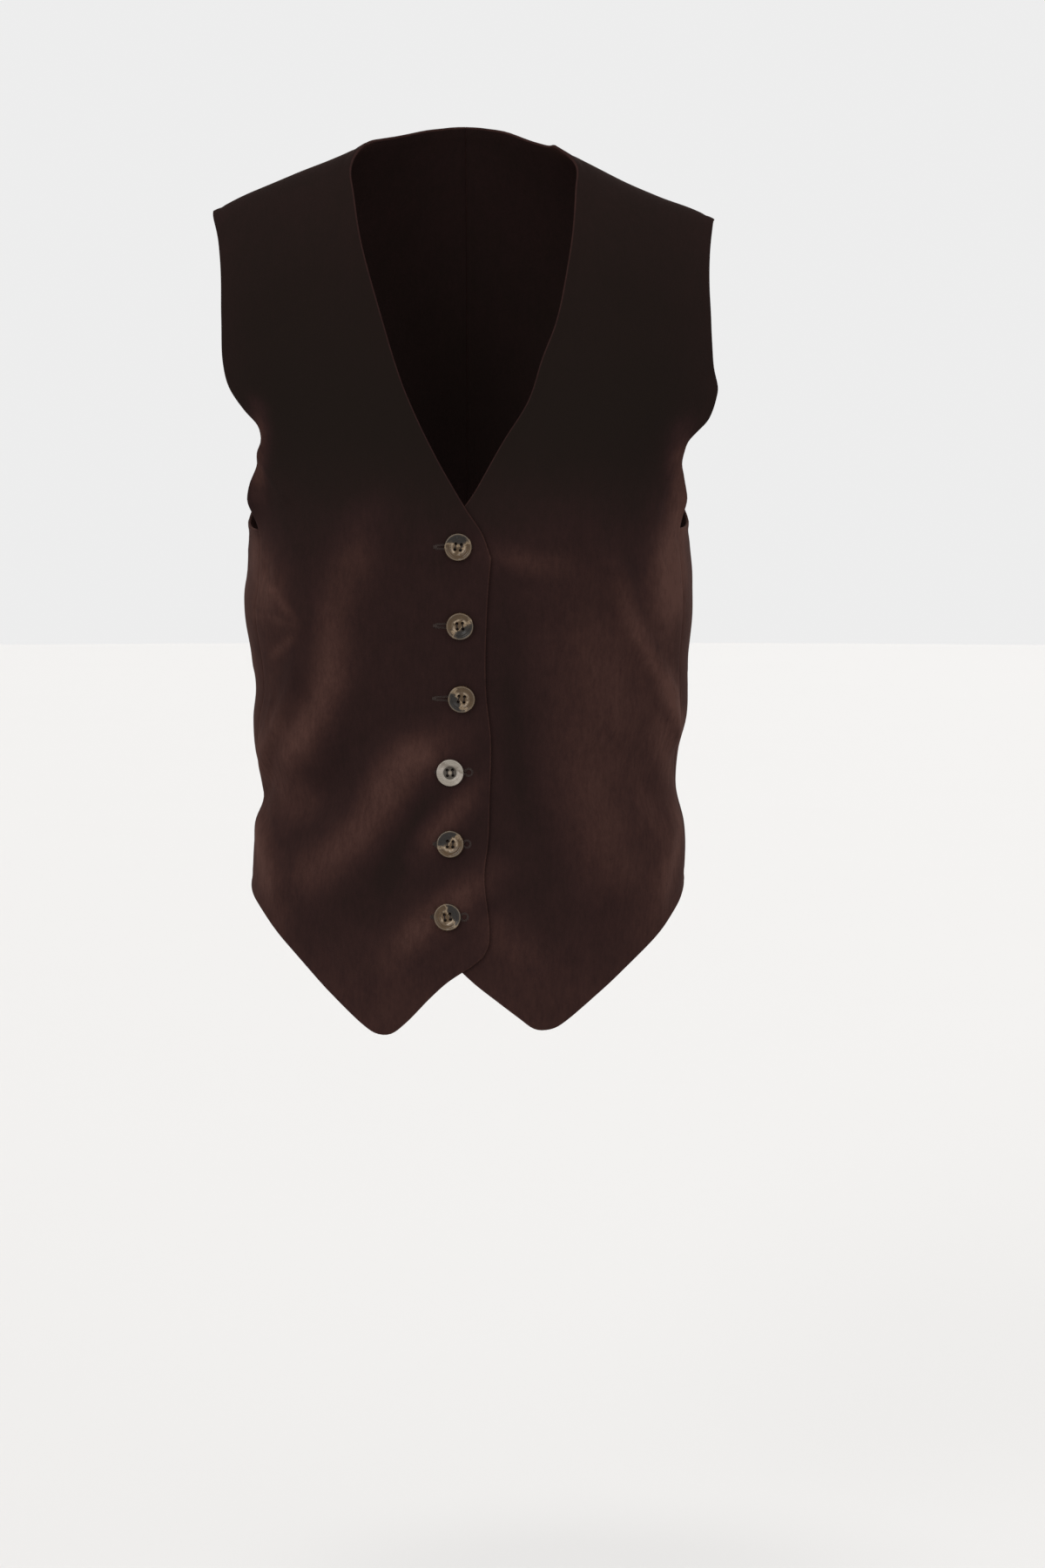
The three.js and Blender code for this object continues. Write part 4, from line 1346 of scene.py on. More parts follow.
class StitchTree:
    """Geometry Nodes tree that sets one rounded stitch at each step along a path."""

    sizes = ("Spacing", "Length", "Width", "Height")
    ball = {"Segments": 6, "Rings": 5, "Radius": 0.5}
    smallest = (0.9, 0.9, 0.85)
    largest = (1.1, 1.08, 1.15)

    def __init__(self) -> None:
        """Builds the tree."""
        self.group = bpy.data.node_groups.new("stitch_row", "GeometryNodeTree")
        self.group.is_modifier = True
        kinds = {name: "Float" for name in self.sizes} | {"Seed": "Int", "Thread": "Material"}
        self.socket("Geometry", "Geometry")
        self.identifiers = {name: self.socket(name, kind) for name, kind in kinds.items()}
        self.socket("Geometry", "Geometry", "OUTPUT")
        self.wire()

    def socket(self, name: str, kind: str, way: str = "INPUT") -> str:
        """Adds an input or output to the tree and returns its identifier."""
        sockets = self.group.interface
        return sockets.new_socket(name, in_out=way, socket_type=f"NodeSocket{kind}").identifier

    def wire(self) -> None:
        """Adds and links the nodes."""
        nodes = NodeTree(self.group)
        given = nodes.add("NodeGroupInput").outputs
        path = nodes.add("GeometryNodeMeshToCurve", Mesh=given["Geometry"]).outputs["Curve"]
        steps = nodes.add(
            "GeometryNodeResampleCurve", {"mode": "LENGTH"}, Curve=path, Length=given["Spacing"]
        )
        stitch = nodes.add("GeometryNodeMeshUVSphere", **self.ball)
        reader, vector = "GeometryNodeInputNamedAttribute", {"data_type": "FLOAT_VECTOR"}
        across, up = (nodes.add(reader, vector, Name=name).outputs["Attribute"] for name in ("across", "up"))
        align = "FunctionNodeAlignRotationToVector"
        first = nodes.add(align, {"axis": "X"}, Vector=across).outputs["Rotation"]
        turn = nodes.add(align, {"axis": "Z", "pivot_axis": "X"}, Rotation=first, Vector=up)
        vary = nodes.add("FunctionNodeRandomValue", vector, Seed=given["Seed"])
        nodes.feed(vary.inputs, self.smallest, self.largest)
        size = nodes.add("ShaderNodeCombineXYZ", X=given["Length"], Y=given["Width"], Z=given["Height"])
        place = nodes.add(
            "GeometryNodeInstanceOnPoints", Points=steps.outputs["Curve"], Instance=stitch.outputs["Mesh"],
            Rotation=turn.outputs["Rotation"], Scale=nodes.scaled(size.outputs["Vector"], vary.outputs[0]),
        )
        real = nodes.add("GeometryNodeRealizeInstances", Geometry=place.outputs["Instances"]).outputs[0]
        smooth = nodes.add("GeometryNodeSetShadeSmooth", Geometry=real).outputs[0]
        thread = nodes.add("GeometryNodeSetMaterial", Geometry=smooth, Material=given["Thread"])
        nodes.add("NodeGroupOutput", Geometry=thread.outputs["Geometry"])

    def sew(self, row: StitchRow, draper: Draper, seed: int, thread: bpy.types.Material) -> bpy.types.Mesh:
        """Stitches of one row, as a mesh.

        Args:
            row: The row of stitches.
            draper: Draper of the panel that they are sewn on.
            seed: Seed of their small differences.
            thread: Finish of the thread.

        Returns:
            Mesh of the stitches.
        """
        points, normals = draper.surface_at(row.outline[:, 0], row.z + row.outline[:, 1])
        ahead = np.gradient(points, axis=0)
        across = np.cross(normals, (1.0, 0, 0)) if row.upright else np.cross(ahead, normals)
        across /= np.linalg.norm(across, axis=1, keepdims=True)
        path = mesh_object("stitch_path", points + normals * row.lift, [])
        steps = np.arange(len(points) - 1)
        path.data.edges.add(len(steps))
        path.data.edges.foreach_set("vertices", np.stack([steps, steps + 1], axis=1).ravel())
        set_point_attribute(path.data, "across", "FLOAT_VECTOR", across)
        set_point_attribute(path.data, "up", "FLOAT_VECTOR", normals)
        modifier = path.modifiers.new("stitches", "NODES")
        modifier.node_group = self.group
        for name, value in zip(self.sizes, (row.spacing, row.length, row.width, row.height)):
            modifier[self.identifiers[name]] = value * MM
        modifier[self.identifiers["Seed"]] = seed
        modifier[self.identifiers["Thread"]] = thread
        mesh = evaluated_mesh(path)
        bpy.data.objects.remove(path)
        return mesh


def joined(name: str, meshes: Sequence[bpy.types.Mesh]) -> bpy.types.Object:
    """One object from several meshes, with the materials of the first.

    Args:
        name: Name of the object.
        meshes: The meshes, which are used up.

    Returns:
        The new object, in the scene.
    """
    whole = bmesh.new()
    for mesh in meshes:
        whole.from_mesh(mesh)
    mesh = bpy.data.meshes.new(name)
    whole.to_mesh(mesh)
    whole.free()
    for material in meshes[0].materials:
        mesh.materials.append(material)
    for used in meshes:
        bpy.data.meshes.remove(used)
    return scene_object(name, mesh)


@dataclass
class Placket:
    """The worked buttonholes of the right front."""

    holes: list[Buttonhole]
    draper: Draper

    def cut(self, panel: bpy.types.Object) -> None:
        """Cuts the holes in the panel and carries its cloth coordinates and its painted sheen and shade
        over.

        Args:
            panel: The right front.
        """
        kinds = {"cloth": "FLOAT_VECTOR", "painted_light": "FLOAT"}
        kept = {name: read_point_attribute(panel.data, name, kind) for name, kind in kinds.items()}
        tree = KDTree(len(panel.data.vertices))
        for vertex in panel.data.vertices:
            tree.insert(vertex.co, vertex.index)
        tree.balance()
        points, faces = [], []
        for hole in self.holes:
            own, prism = hole.cutter(self.draper)
            offset = sum(len(part) for part in points)
            points.append(own)
            faces += [tuple(i + offset for i in face) for face in prism]
        cut_away(panel, mesh_object("buttonhole_cutter", np.vstack(points), faces))
        nearest = [tree.find(vertex.co)[1] for vertex in panel.data.vertices]
        for name, kind in kinds.items():
            set_point_attribute(panel.data, name, kind, kept[name][nearest])

    def sew(self, tree: StitchTree, thread: bpy.types.Material) -> None:
        """Sews each buttonhole as a piece of its own.

        Args:
            tree: Tree that makes the stitches.
            thread: Finish of the thread.
        """
        for number, hole in enumerate(self.holes, start=1):
            rows = enumerate(hole.rows())
            meshes = [tree.sew(row, self.draper, 10 * number + k, thread) for k, row in rows]
            obj = joined(f"buttonhole_stitches_{number}", meshes)
            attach(obj, BODY)
            LOG.info("%s: %d faces", obj.name, len(obj.data.polygons))


def lathe(profile: PathPoints, segments: int) -> tuple[np.ndarray, Faces]:
    """Closed solid of revolution about Z.

    Args:
        profile: (radius, height) from the axis at the bottom to the axis at the top.
        segments: Number of steps round.

    Returns:
        Points and faces.
    """
    turns = 2 * math.pi * np.arange(segments) / segments
    points = [(0.0, 0.0, profile[0][1])]
    for radius, height in profile[1:-1]:
        points += [(radius * math.cos(t), radius * math.sin(t), height) for t in turns]
    points.append((0.0, 0.0, profile[-1][1]))
    last, rings = len(points) - 1, len(profile) - 2
    faces: Faces = []
    for k in range(segments):
        n = (k + 1) % segments
        faces.append((0, 1 + n, 1 + k))
        for ring in range(rings - 1):
            low, high = 1 + ring * segments, 1 + (ring + 1) * segments
            faces.append((low + k, low + n, high + n, high + k))
        top = 1 + (rings - 1) * segments
        faces.append((top + k, top + n, last))
    return np.array(points), faces


def tube(path: np.ndarray, radius: float, sides: int = 8) -> tuple[np.ndarray, Faces]:
    """Closed round tube along a path.

    Args:
        path: Points of the path, one to a row.
        radius: Radius of the tube.
        sides: Number of sides.

    Returns:
        Points and faces.
    """
    ahead = np.gradient(path, axis=0)
    ahead /= np.linalg.norm(ahead, axis=1, keepdims=True)
    side = np.cross(ahead, np.array(TUBE_GUIDE))
    side /= np.linalg.norm(side, axis=1, keepdims=True)
    other = np.cross(ahead, side)
    turns = 2 * math.pi * np.arange(sides) / sides
    rings = [path + radius * (math.cos(t) * side + math.sin(t) * other) for t in turns]
    points = np.stack(rings, axis=1).reshape(-1, 3)
    last = range(len(points) - sides, len(points))
    faces: Faces = [tuple(range(sides)), tuple(reversed(last))]
    for k in range(len(path) - 1):
        for s in range(sides):
            n = (s + 1) % sides
            faces.append((k * sides + n, k * sides + s, (k + 1) * sides + s, (k + 1) * sides + n))
    return points, faces


@dataclass
class HornButton:
    """Four-hole horn button on a wound thread shank."""

    number: int
    row: ButtonRow
    cloth: float
    lap_gap: float
    seat: float = 0.6
    segments: int = 72
    hole_radius: float = 0.95
    hole_offset: float = 1.85
    countersink: float = 0.25
    drill_segments: int = 20
    sharp_angle: float = 38.0
    cloud_step: float = 0.05
    thread_radius: float = 0.19
    strand_stations: int = 11
    strand_foot: float = 0.2
    strand_rise: float = 1.52
    strand_roundness: float = 0.35
    shank_radius: float = 1.1
    shank_gap: float = 0.3
    winding: float = 0.42
    turn_steps: int = 16
    profile: PathPoints = (
        (0.0, 0.0), (6.9, 0.0), (7.5, 0.12), (8.2, 0.6), (8.75, 1.1), (8.98, 1.6), (9.0, 2.1), (8.9, 2.5),
        (8.72, 2.78), (8.48, 2.9), (8.2, 2.9), (7.98, 2.78), (7.8, 2.56), (7.6, 2.46), (7.3, 2.44),
        (6.75, 2.42), (6.6, 2.3), (6.45, 2.3), (6.3, 2.42), (5.9, 2.42), (5.55, 2.38), (5.25, 2.22),
        (4.95, 1.92), (4.65, 1.72), (4.2, 1.63), (2.8, 1.6), (1.4, 1.6), (0.0, 1.6),
    )

    def placement(self, draper: Draper) -> Matrix:
        """Turn and place of the button's seat on the cloth, in metres.

        Args:
            draper: Draper of the right front.

        Returns:
            Matrix from the button's own axes, Z out of the cloth.
        """
        (point,), (normal,) = draper.surface_at(self.row.button, self.row.z)
        out = Vector(normal)
        across = (Vector((1, 0, 0)) - out * out.x).normalized()
        up = out.cross(across)
        turn = Matrix((across, up, out)).transposed().to_4x4()
        return Matrix.Translation(Vector(point) * MM) @ turn

    def lift(self) -> Matrix:
        """Turn of the button in its plane and its lift off the cloth."""
        turn = Matrix.Rotation(math.radians(self.row.turn), 4, "Z")
        return Matrix.Translation((0, 0, self.seat * MM)) @ turn

    def disc(self, place: Matrix, horn: bpy.types.Material) -> bpy.types.Object:
        """Turned disc with its four countersunk holes.

        Args:
            place: Placement of the seat.
            horn: Finish of the disc.

        Returns:
            The button.
        """
        obj = mesh_object(f"horn_button_{self.number}", *lathe(self.profile, self.segments))
        points, faces = [], []
        bore, wide = self.hole_radius, self.hole_radius + self.countersink
        drill = (
            (0, -1), (wide, -1), (wide, -0.1), (bore, 0.3), (bore, 1.3), (wide, 1.75), (wide + 0.2, 3.2),
            (0, 3.2),
        )
        for right, up in ((-1, -1), (1, -1), (1, 1), (-1, 1)):
            own, prism = lathe(drill, self.drill_segments)
            offset = len(points) * len(own)
            points.append(own + np.array([right * self.hole_offset, up * self.hole_offset, 0]))
            faces += [tuple(i + offset for i in face) for face in prism]
        cut_away(obj, mesh_object("drill", np.vstack(points), faces))
        obj.data.set_sharp_from_angle(angle=math.radians(self.sharp_angle))
        x, y, z = np.array([vertex.co for vertex in obj.data.vertices]).T
        patch_turn = math.radians(self.row.patch - self.row.turn)
        cosine, sine = math.cos(patch_turn), math.sin(patch_turn)
        disc = (x * sine - y * cosine, x * cosine + y * sine, z + self.cloud_step * self.number)
        set_point_attribute(obj.data, "disc", "FLOAT_VECTOR", np.stack(disc, axis=1))
        obj.data.transform(place @ self.lift())
        set_materials(obj.data, horn)
        return obj

    def threads(self, place: Matrix, thread: bpy.types.Material) -> bpy.types.Object:
        """Strands through the holes, two and two.

        Args:
            place: Placement of the seat.
            thread: Finish of the thread.

        Returns:
            The strands.
        """
        t = np.linspace(0, math.pi, self.strand_stations)
        y = -np.cos(t) * self.hole_offset
        z = self.strand_foot + self.strand_rise * np.sin(t) ** self.strand_roundness
        holes = [side * self.hole_offset for side in (-1, 1)]
        meshes = []
        for x in [hole + side * self.thread_radius for hole in holes for side in (-1, 1)]:
            arch = np.stack([np.full(len(t), x), y, z], axis=1)
            meshes.append(smooth_mesh("strand", *tube(arch, self.thread_radius), thread))
        obj = joined(f"button_threads_{self.number}", meshes)
        obj.data.transform(place @ self.lift())
        return obj

    def shank(self, place: Matrix, thread: bpy.types.Material) -> bpy.types.Object:
        """Thread wound round the strands between the cloth and the button.

        Args:
            place: Placement of the seat.
            thread: Finish of the thread.

        Returns:
            The wound shank.
        """
        bottom, top = -self.cloth - self.lap_gap + self.shank_gap, self.seat - self.shank_gap
        climb, radius = top - bottom - self.winding, self.shank_radius - self.winding / 2
        turns = climb / self.winding
        t = np.linspace(0, 1, int(turns * self.turn_steps) + 1)
        angle = 2 * math.pi * turns * t
        height = bottom + self.winding / 2 + t * climb
        path = np.stack([radius * np.cos(angle), radius * np.sin(angle), height], axis=1)
        coil = tube(path, self.winding / 2, 6)
        core = lathe(((0, bottom), (radius, bottom), (radius, top), (0, top)), self.turn_steps)
        meshes = [smooth_mesh("winding", *part, thread) for part in (coil, core)]
        obj = joined(f"wound_shank_{self.number}", meshes)
        obj.data.transform(place)
        return obj

    def build(self, draper: Draper, horn: bpy.types.Material, thread: bpy.types.Material) -> None:
        """Makes the button, its threads and its shank, hides the model parts that they replace and hangs
        them on the body.

        Args:
            draper: Draper of the right front.
            horn: Finish of the disc.
            thread: Finish of the thread.
        """
        place = self.placement(draper)
        disc, strands, shank = self.disc(place, horn), self.threads(place, thread), self.shank(place, thread)
        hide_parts(f"button_{self.number}")
        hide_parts(f"thread_shank_{self.number}")
        for obj, slot in ((disc, "horn"), (strands, "thread"), (shank, "thread")):
            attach(obj, BODY)
        LOG.info("%s: %d faces", disc.name, len(disc.data.polygons))


class ShaderGroup:
    """Effect that several finishes share, with named inputs and outputs."""

    def __init__(self, name: str, inputs: dict[str, tuple[str, Any]], outputs: dict[str, str]) -> None:
        """Makes the empty group.

        Args:
            name: Name of the group.
            inputs: Socket type and default value by name.
            outputs: Socket type by name.
        """
        self.group = bpy.data.node_groups.new(name, "ShaderNodeTree")
        sockets = self.group.interface
        for label, (kind, value) in inputs.items():
            socket = sockets.new_socket(label, in_out="INPUT", socket_type=kind)
            if value is not None:
                socket.default_value = value
        for label, kind in outputs.items():
            sockets.new_socket(label, in_out="OUTPUT", socket_type=kind)
        self.nodes = NodeTree(self.group)
        self.given = self.nodes.add("NodeGroupInput").outputs
        self.made = self.nodes.add("NodeGroupOutput").inputs

    def give(self, **results: bpy.types.NodeSocket) -> None:
        """Links results to the group's outputs."""
        for label, result in results.items():
            self.nodes.feed([self.made[label]], result)

    def place(self, nodes: NodeTree, **values: Any) -> bpy.types.Node:
        """Puts the group in a material.

        Args:
            nodes: Nodes of the material.
            **values: Values or linked outputs by input name.

        Returns:
            The group's node.
        """
        return nodes.add("ShaderNodeGroup", {"node_tree": self.group}, **values)


def pile_group() -> ShaderGroup:
    """Short velvet pile: blotches where it was brushed, streaks along the pile's lie and the fine tufts."""
    group = ShaderGroup(
        "velvet_pile",
        {"Vector": ("NodeSocketVector", None), "Streak": ("NodeSocketFloat", 0.2)},
        {"Blotch": "NodeSocketFloat", "Tuft": "NodeSocketFloat", "Height": "NodeSocketFloat"},
    )
    nodes, given = group.nodes, group.given
    broad, fine, clump, hair, rib = 30, 150, 450, 2100, 900
    stretch = nodes.add("ShaderNodeCombineXYZ", X=1.0, Y=given["Streak"], Z=1.0)
    lie = nodes.scaled(given["Vector"], stretch.outputs[0])
    clumps, hairs = nodes.noise(lie, clump, 2, 0.7), nodes.noise(lie, hair, 2, 0.7)
    ribs = nodes.noise(nodes.scaled(given["Vector"], (1.0, 0.08, 1.0)), rib, 1)
    group.give(
        Blotch=nodes.blend(nodes.noise(given["Vector"], broad, 4, 0.6), nodes.noise(lie, fine, 3), 0.6),
        Tuft=nodes.blend(clumps, hairs, 0.6),
        Height=nodes.blend(hairs, ribs, 0.75),
    )
    return group


def weave_group() -> ShaderGroup:
    """Fine twill or twist: slanting ridges with a little unevenness."""
    group = ShaderGroup(
        "fine_twill",
        {"Vector": ("NodeSocketVector", None), "Scale": ("NodeSocketFloat", 1200.0)},
        {"Ridge": "NodeSocketFloat", "Uneven": "NodeSocketFloat"},
    )
    nodes, given = group.nodes, group.given
    slant = nodes.add("ShaderNodeMapping", Vector=given["Vector"], Rotation=(0.4, 0.3, math.radians(38)))
    wave = nodes.add("ShaderNodeTexWave", Vector=slant.outputs[0], Scale=given["Scale"], Distortion=0.6)
    uneven = nodes.noise(given["Vector"], 90, 4)
    group.give(Ridge=wave.outputs["Fac"], Uneven=uneven)
    return group


def new_material(name: str) -> tuple[bpy.types.Material, NodeTree, bpy.types.Node]:
    """Empty material with its Principled shader.

    Args:
        name: Name of the material.

    Returns:
        The material, its nodes and the shader.
    """
    material = bpy.data.materials.new(name)
    material.use_nodes = True
    nodes = NodeTree(material.node_tree)
    shader = material.node_tree.nodes["Principled BSDF"]
    return material, nodes, shader


@dataclass(frozen=True)
class Velvet:
    """Short-pile velvet whose colour runs from deep to lighter brown along a painted tone of sheen and
    shade, with a little real sheen.
    """

    name: str
    # Colour along the painted sheen and shade tone, from the deep velvet to its painted sheen.
    tones: tuple[tuple[float, Colour], ...] = (
        (0.0, (0.0088, 0.0062, 0.0051)), (0.115, (0.0161, 0.0084, 0.0078)), (0.21, (0.0210, 0.0104, 0.0095)),
        (0.40, (0.0310, 0.0148, 0.0126)), (1.0, (0.0613, 0.0300, 0.0243)),
    )
    sheen: Colour = (0.90, 0.42, 0.33)
    sheen_weight: float = 0.035
    sheen_roughness: float = 0.3
    roughness: float = 0.9
    specular: float = 0.02
    streak: float = 0.3
    contrast: float = 1.6
    relief: tuple[float, float] = (0.35, 0.0004)

    def make(self, pile: ShaderGroup) -> bpy.types.Material:
        """Builds the material.

        Args:
            pile: The shared pile effect.

        Returns:
            The material.
        """
        material, nodes, shader = new_material(self.name)
        cloth, painted_light = nodes.attribute("cloth"), nodes.attribute("painted_light")
        effect = pile.place(nodes, Vector=cloth.outputs["Vector"], Streak=self.streak).outputs
        uneven = nodes.math("SUBTRACT", nodes.math("ADD", effect["Blotch"], effect["Tuft"]), 1.0)
        uneven = nodes.math("ADD", nodes.math("MULTIPLY", uneven, self.contrast), 1.0)
        # The painted sheen and shade tone, broken up by the pile's blotches, picks the colour.
        tone = nodes.math("MULTIPLY", painted_light.outputs["Fac"], uneven, clamp=True)
        nodes.set(
            shader, Base_Color=nodes.ramp(tone, self.tones), Roughness=self.roughness,
            Specular_IOR_Level=self.specular, Normal=nodes.bump(effect["Height"], *self.relief),
            Sheen_Weight=self.sheen_weight, Sheen_Roughness=self.sheen_roughness, Sheen_Tint=self.sheen,
        )
        return material


@dataclass(frozen=True)
class PlainCloth:
    """Plain smooth cloth of the inner side."""

    name: str = "plain_inner_cloth"
    dark: Colour = (0.022, 0.0115, 0.009)
    light: Colour = (0.045, 0.024, 0.018)
    twill_scale: float = 320.0
    ridge_share: float = 0.45
    relief: tuple[float, float] = (0.2, 0.0002)
    roughness: float = 0.62
    specular: float = 0.3

    def make(self, weave: ShaderGroup) -> bpy.types.Material:
        """Builds the material.

        Args:
            weave: The shared twill effect.

        Returns:
            The material.
        """
        material, nodes, shader = new_material(self.name)
        cloth = nodes.attribute("cloth").outputs["Vector"]
        effect = weave.place(nodes, Vector=cloth, Scale=self.twill_scale).outputs
        tone = nodes.blend(effect["Ridge"], effect["Uneven"], self.ridge_share)
        nodes.set(
            shader, Base_Color=nodes.mix(tone, self.dark, self.light), Roughness=self.roughness,
            Specular_IOR_Level=self.specular, Normal=nodes.bump(effect["Ridge"], *self.relief),
        )
        return material


@dataclass(frozen=True)
class Thread:
    """Twisted thread, a little glossier than the pile."""

    name: str = "dark_thread"
    dark: Colour = (0.006, 0.004, 0.0035)
    light: Colour = (0.020, 0.012, 0.010)
    twist_scale: float = 900.0
    relief: tuple[float, float] = (0.4, 0.0001)
    roughness: float = 0.55
    specular: float = 0.2

    def make(self, weave: ShaderGroup) -> bpy.types.Material:
        """Builds the material.

        Args:
            weave: The shared twill effect.

        Returns:
            The material.
        """
        material, nodes, shader = new_material(self.name)
        place = nodes.add("ShaderNodeTexCoord").outputs["Object"]
        ridge = weave.place(nodes, Vector=place, Scale=self.twist_scale).outputs["Ridge"]
        nodes.set(
            shader, Base_Color=nodes.mix(ridge, self.dark, self.light), Roughness=self.roughness,
            Specular_IOR_Level=self.specular, Normal=nodes.bump(ridge, *self.relief),
        )
        return material


HORN_STOPS = {
    HornTone.PALE: (
        (0.2, (0.27, 0.24, 0.20)), (0.5, (0.38, 0.34, 0.30)), (0.66, (0.20, 0.17, 0.14)),
        (0.8, (0.31, 0.28, 0.24)),
    ),
    HornTone.MOTTLED: (
        (0.0, (0.050, 0.028, 0.012)), (0.34, (0.076, 0.045, 0.020)), (0.50, (0.058, 0.034, 0.015)),
        (0.57, (0.25, 0.180, 0.110)), (0.63, (0.050, 0.035, 0.022)), (0.70, (0.005, 0.0045, 0.0045)),
        (0.86, (0.009, 0.008, 0.0075)), (0.95, (0.062, 0.038, 0.018)),
    ),
}


@dataclass(frozen=True)
class Horn:
    """Polished mottled horn: olive brown with a slate patch on one side and a cream streak between."""

    tone: HornTone
    across_gain: float = 48.0
    cloud_scale: float = 170.0
    cloud_share: float = 0.75
    dish_radius: float = 4.5
    dish_share: float = 0.9
    dish_dark: Colour = (0.026, 0.021, 0.016)
    centre_radius: float = 1.9
    centre_gain: float = 1.2
    centre_light: Colour = (0.30, 0.25, 0.19)
    # Painted glints in cream on the dish's slope, kept to the side away from the slate patch.
    olive_end: float = 0.64
    olive_gain: float = 8.0
    slope: tuple[float, float] = (4.3, 1.3)
    slope_painted_glint: Colour = (0.37, 0.285, 0.20)
    glint_scale: float = 330.0
    glint_level: float = 0.38
    glint_gain: float = 5.0
    # Painted highlight along the button's rim.
    rim: tuple[float, float] = (8.4, 0.55)
    rim_highlight_share: float = 0.7
    rim_painted_highlight: Colour = (0.17, 0.130, 0.09)
    grain_scale: float = 1400.0
    grain_stretch: tuple[float, float, float] = (0.25, 1.0, 1.0)
    streak_share: float = 0.45
    streak_dark: Colour = (0.030, 0.021, 0.013)
    roughness: tuple[float, float] = (0.1, 0.16)
    relief: tuple[float, float] = (0.12, 0.0002)
    specular: float = 0.26
    coat: float = 0.08

    def ring(self, nodes: NodeTree, radius: Any, middle: float, half: float) -> bpy.types.NodeSocket:
        """Mask of a round band.

        Args:
            nodes: Nodes of the material.
            radius: Distance from the disc's axis.
            middle: Radius at which the mask is 1.
            half: Distance over which it falls to 0.

        Returns:
            The mask.
        """
        off = nodes.math("ABSOLUTE", nodes.math("SUBTRACT", radius, middle * MM))
        return nodes.math("SUBTRACT", 1.0, nodes.math("DIVIDE", off, half * MM), clamp=True)

    def dished(self, nodes: NodeTree, radius: Any, colour: Any) -> bpy.types.NodeSocket:
        """Colour with a dark dish that turns light at its centre, as the pale button has."""
        inside = nodes.math("LESS_THAN", radius, self.dish_radius * MM)
        short = nodes.math("SUBTRACT", self.centre_radius * MM, radius)
        centre = nodes.math("MULTIPLY", short, self.centre_gain / (self.centre_radius * MM), clamp=True)
        dish = nodes.mix(centre, self.dish_dark, self.centre_light)
        return nodes.mix(nodes.math("MULTIPLY", inside, self.dish_share), colour, dish)

    def sloped(
        self, nodes: NodeTree, place: Any, radius: Any, across: Any, colour: Any
    ) -> bpy.types.NodeSocket:
        """Colour with painted glints in cream on the dish's slope and a painted highlight on the rim.

        Args:
            nodes: Nodes of the material.
            place: Coordinates on the disc.
            radius: Distance from the disc's axis.
            across: Place across the disc, towards the slate patch.
            colour: Colour before.

        Returns:
            The colour.
        """
        olive = nodes.math("SUBTRACT", self.olive_end, across)
        olive = nodes.math("MULTIPLY", olive, self.olive_gain, clamp=True)
        # Painted glint spots in cream on the dish's slope, away from the slate patch.
        cream = nodes.math("SUBTRACT", nodes.noise(place, self.glint_scale, 2), self.glint_level)
        cream = nodes.math("MULTIPLY", cream, self.glint_gain, clamp=True)
        slope = nodes.math("MULTIPLY", self.ring(nodes, radius, *self.slope), olive)
        colour = nodes.mix(nodes.math("MULTIPLY", slope, cream), colour, self.slope_painted_glint)
        # Painted highlight along the rim.
        rim = nodes.math("MULTIPLY", self.ring(nodes, radius, *self.rim), self.rim_highlight_share)
        return nodes.mix(rim, colour, self.rim_painted_highlight)

    def make(self) -> bpy.types.Material:
        """Builds the material."""
        material, nodes, shader = new_material(f"horn_{self.tone.value}")
        place = nodes.attribute("disc").outputs["Vector"]
        parts = nodes.add("ShaderNodeSeparateXYZ", Vector=place).outputs
        cloud = nodes.math("SUBTRACT", nodes.noise(place, self.cloud_scale, 4, 0.6), 0.5)
        cloud = nodes.math("MULTIPLY", cloud, self.cloud_share)
        across = nodes.math("ADD", nodes.math("MULTIPLY", parts["Y"], self.across_gain), cloud)
        across = nodes.math("ADD", across, 0.5)
        colour = nodes.ramp(across, HORN_STOPS[self.tone])
        flat = nodes.add("ShaderNodeCombineXYZ", X=parts["X"], Y=parts["Y"]).outputs[0]
        radius = nodes.add("ShaderNodeVectorMath", {"operation": "LENGTH"}, Vector=flat).outputs["Value"]
        if self.tone is HornTone.PALE:
            colour = self.dished(nodes, radius, colour)
        else:
            colour = self.sloped(nodes, place, radius, across, colour)
        grain = nodes.noise(nodes.scaled(place, self.grain_stretch), self.grain_scale, 3)
        smooth, rough = self.roughness
        streaks = nodes.math("MULTIPLY", grain, self.streak_share)
        nodes.set(
            shader, Base_Color=nodes.mix(streaks, colour, self.streak_dark),
            Roughness=nodes.math("ADD", nodes.math("MULTIPLY", grain, rough), smooth),
            Normal=nodes.bump(grain, *self.relief), Specular_IOR_Level=self.specular,
            Coat_Weight=self.coat, Coat_Roughness=self.coat,
        )
        return material


class SoftLight(NamedTuple):
    """Parallel light: its name, where it comes from, its angular width in degrees and its strength."""

    name: str
    origin: tuple[float, float, float]
    width: float
    strength: float
    colour: Colour


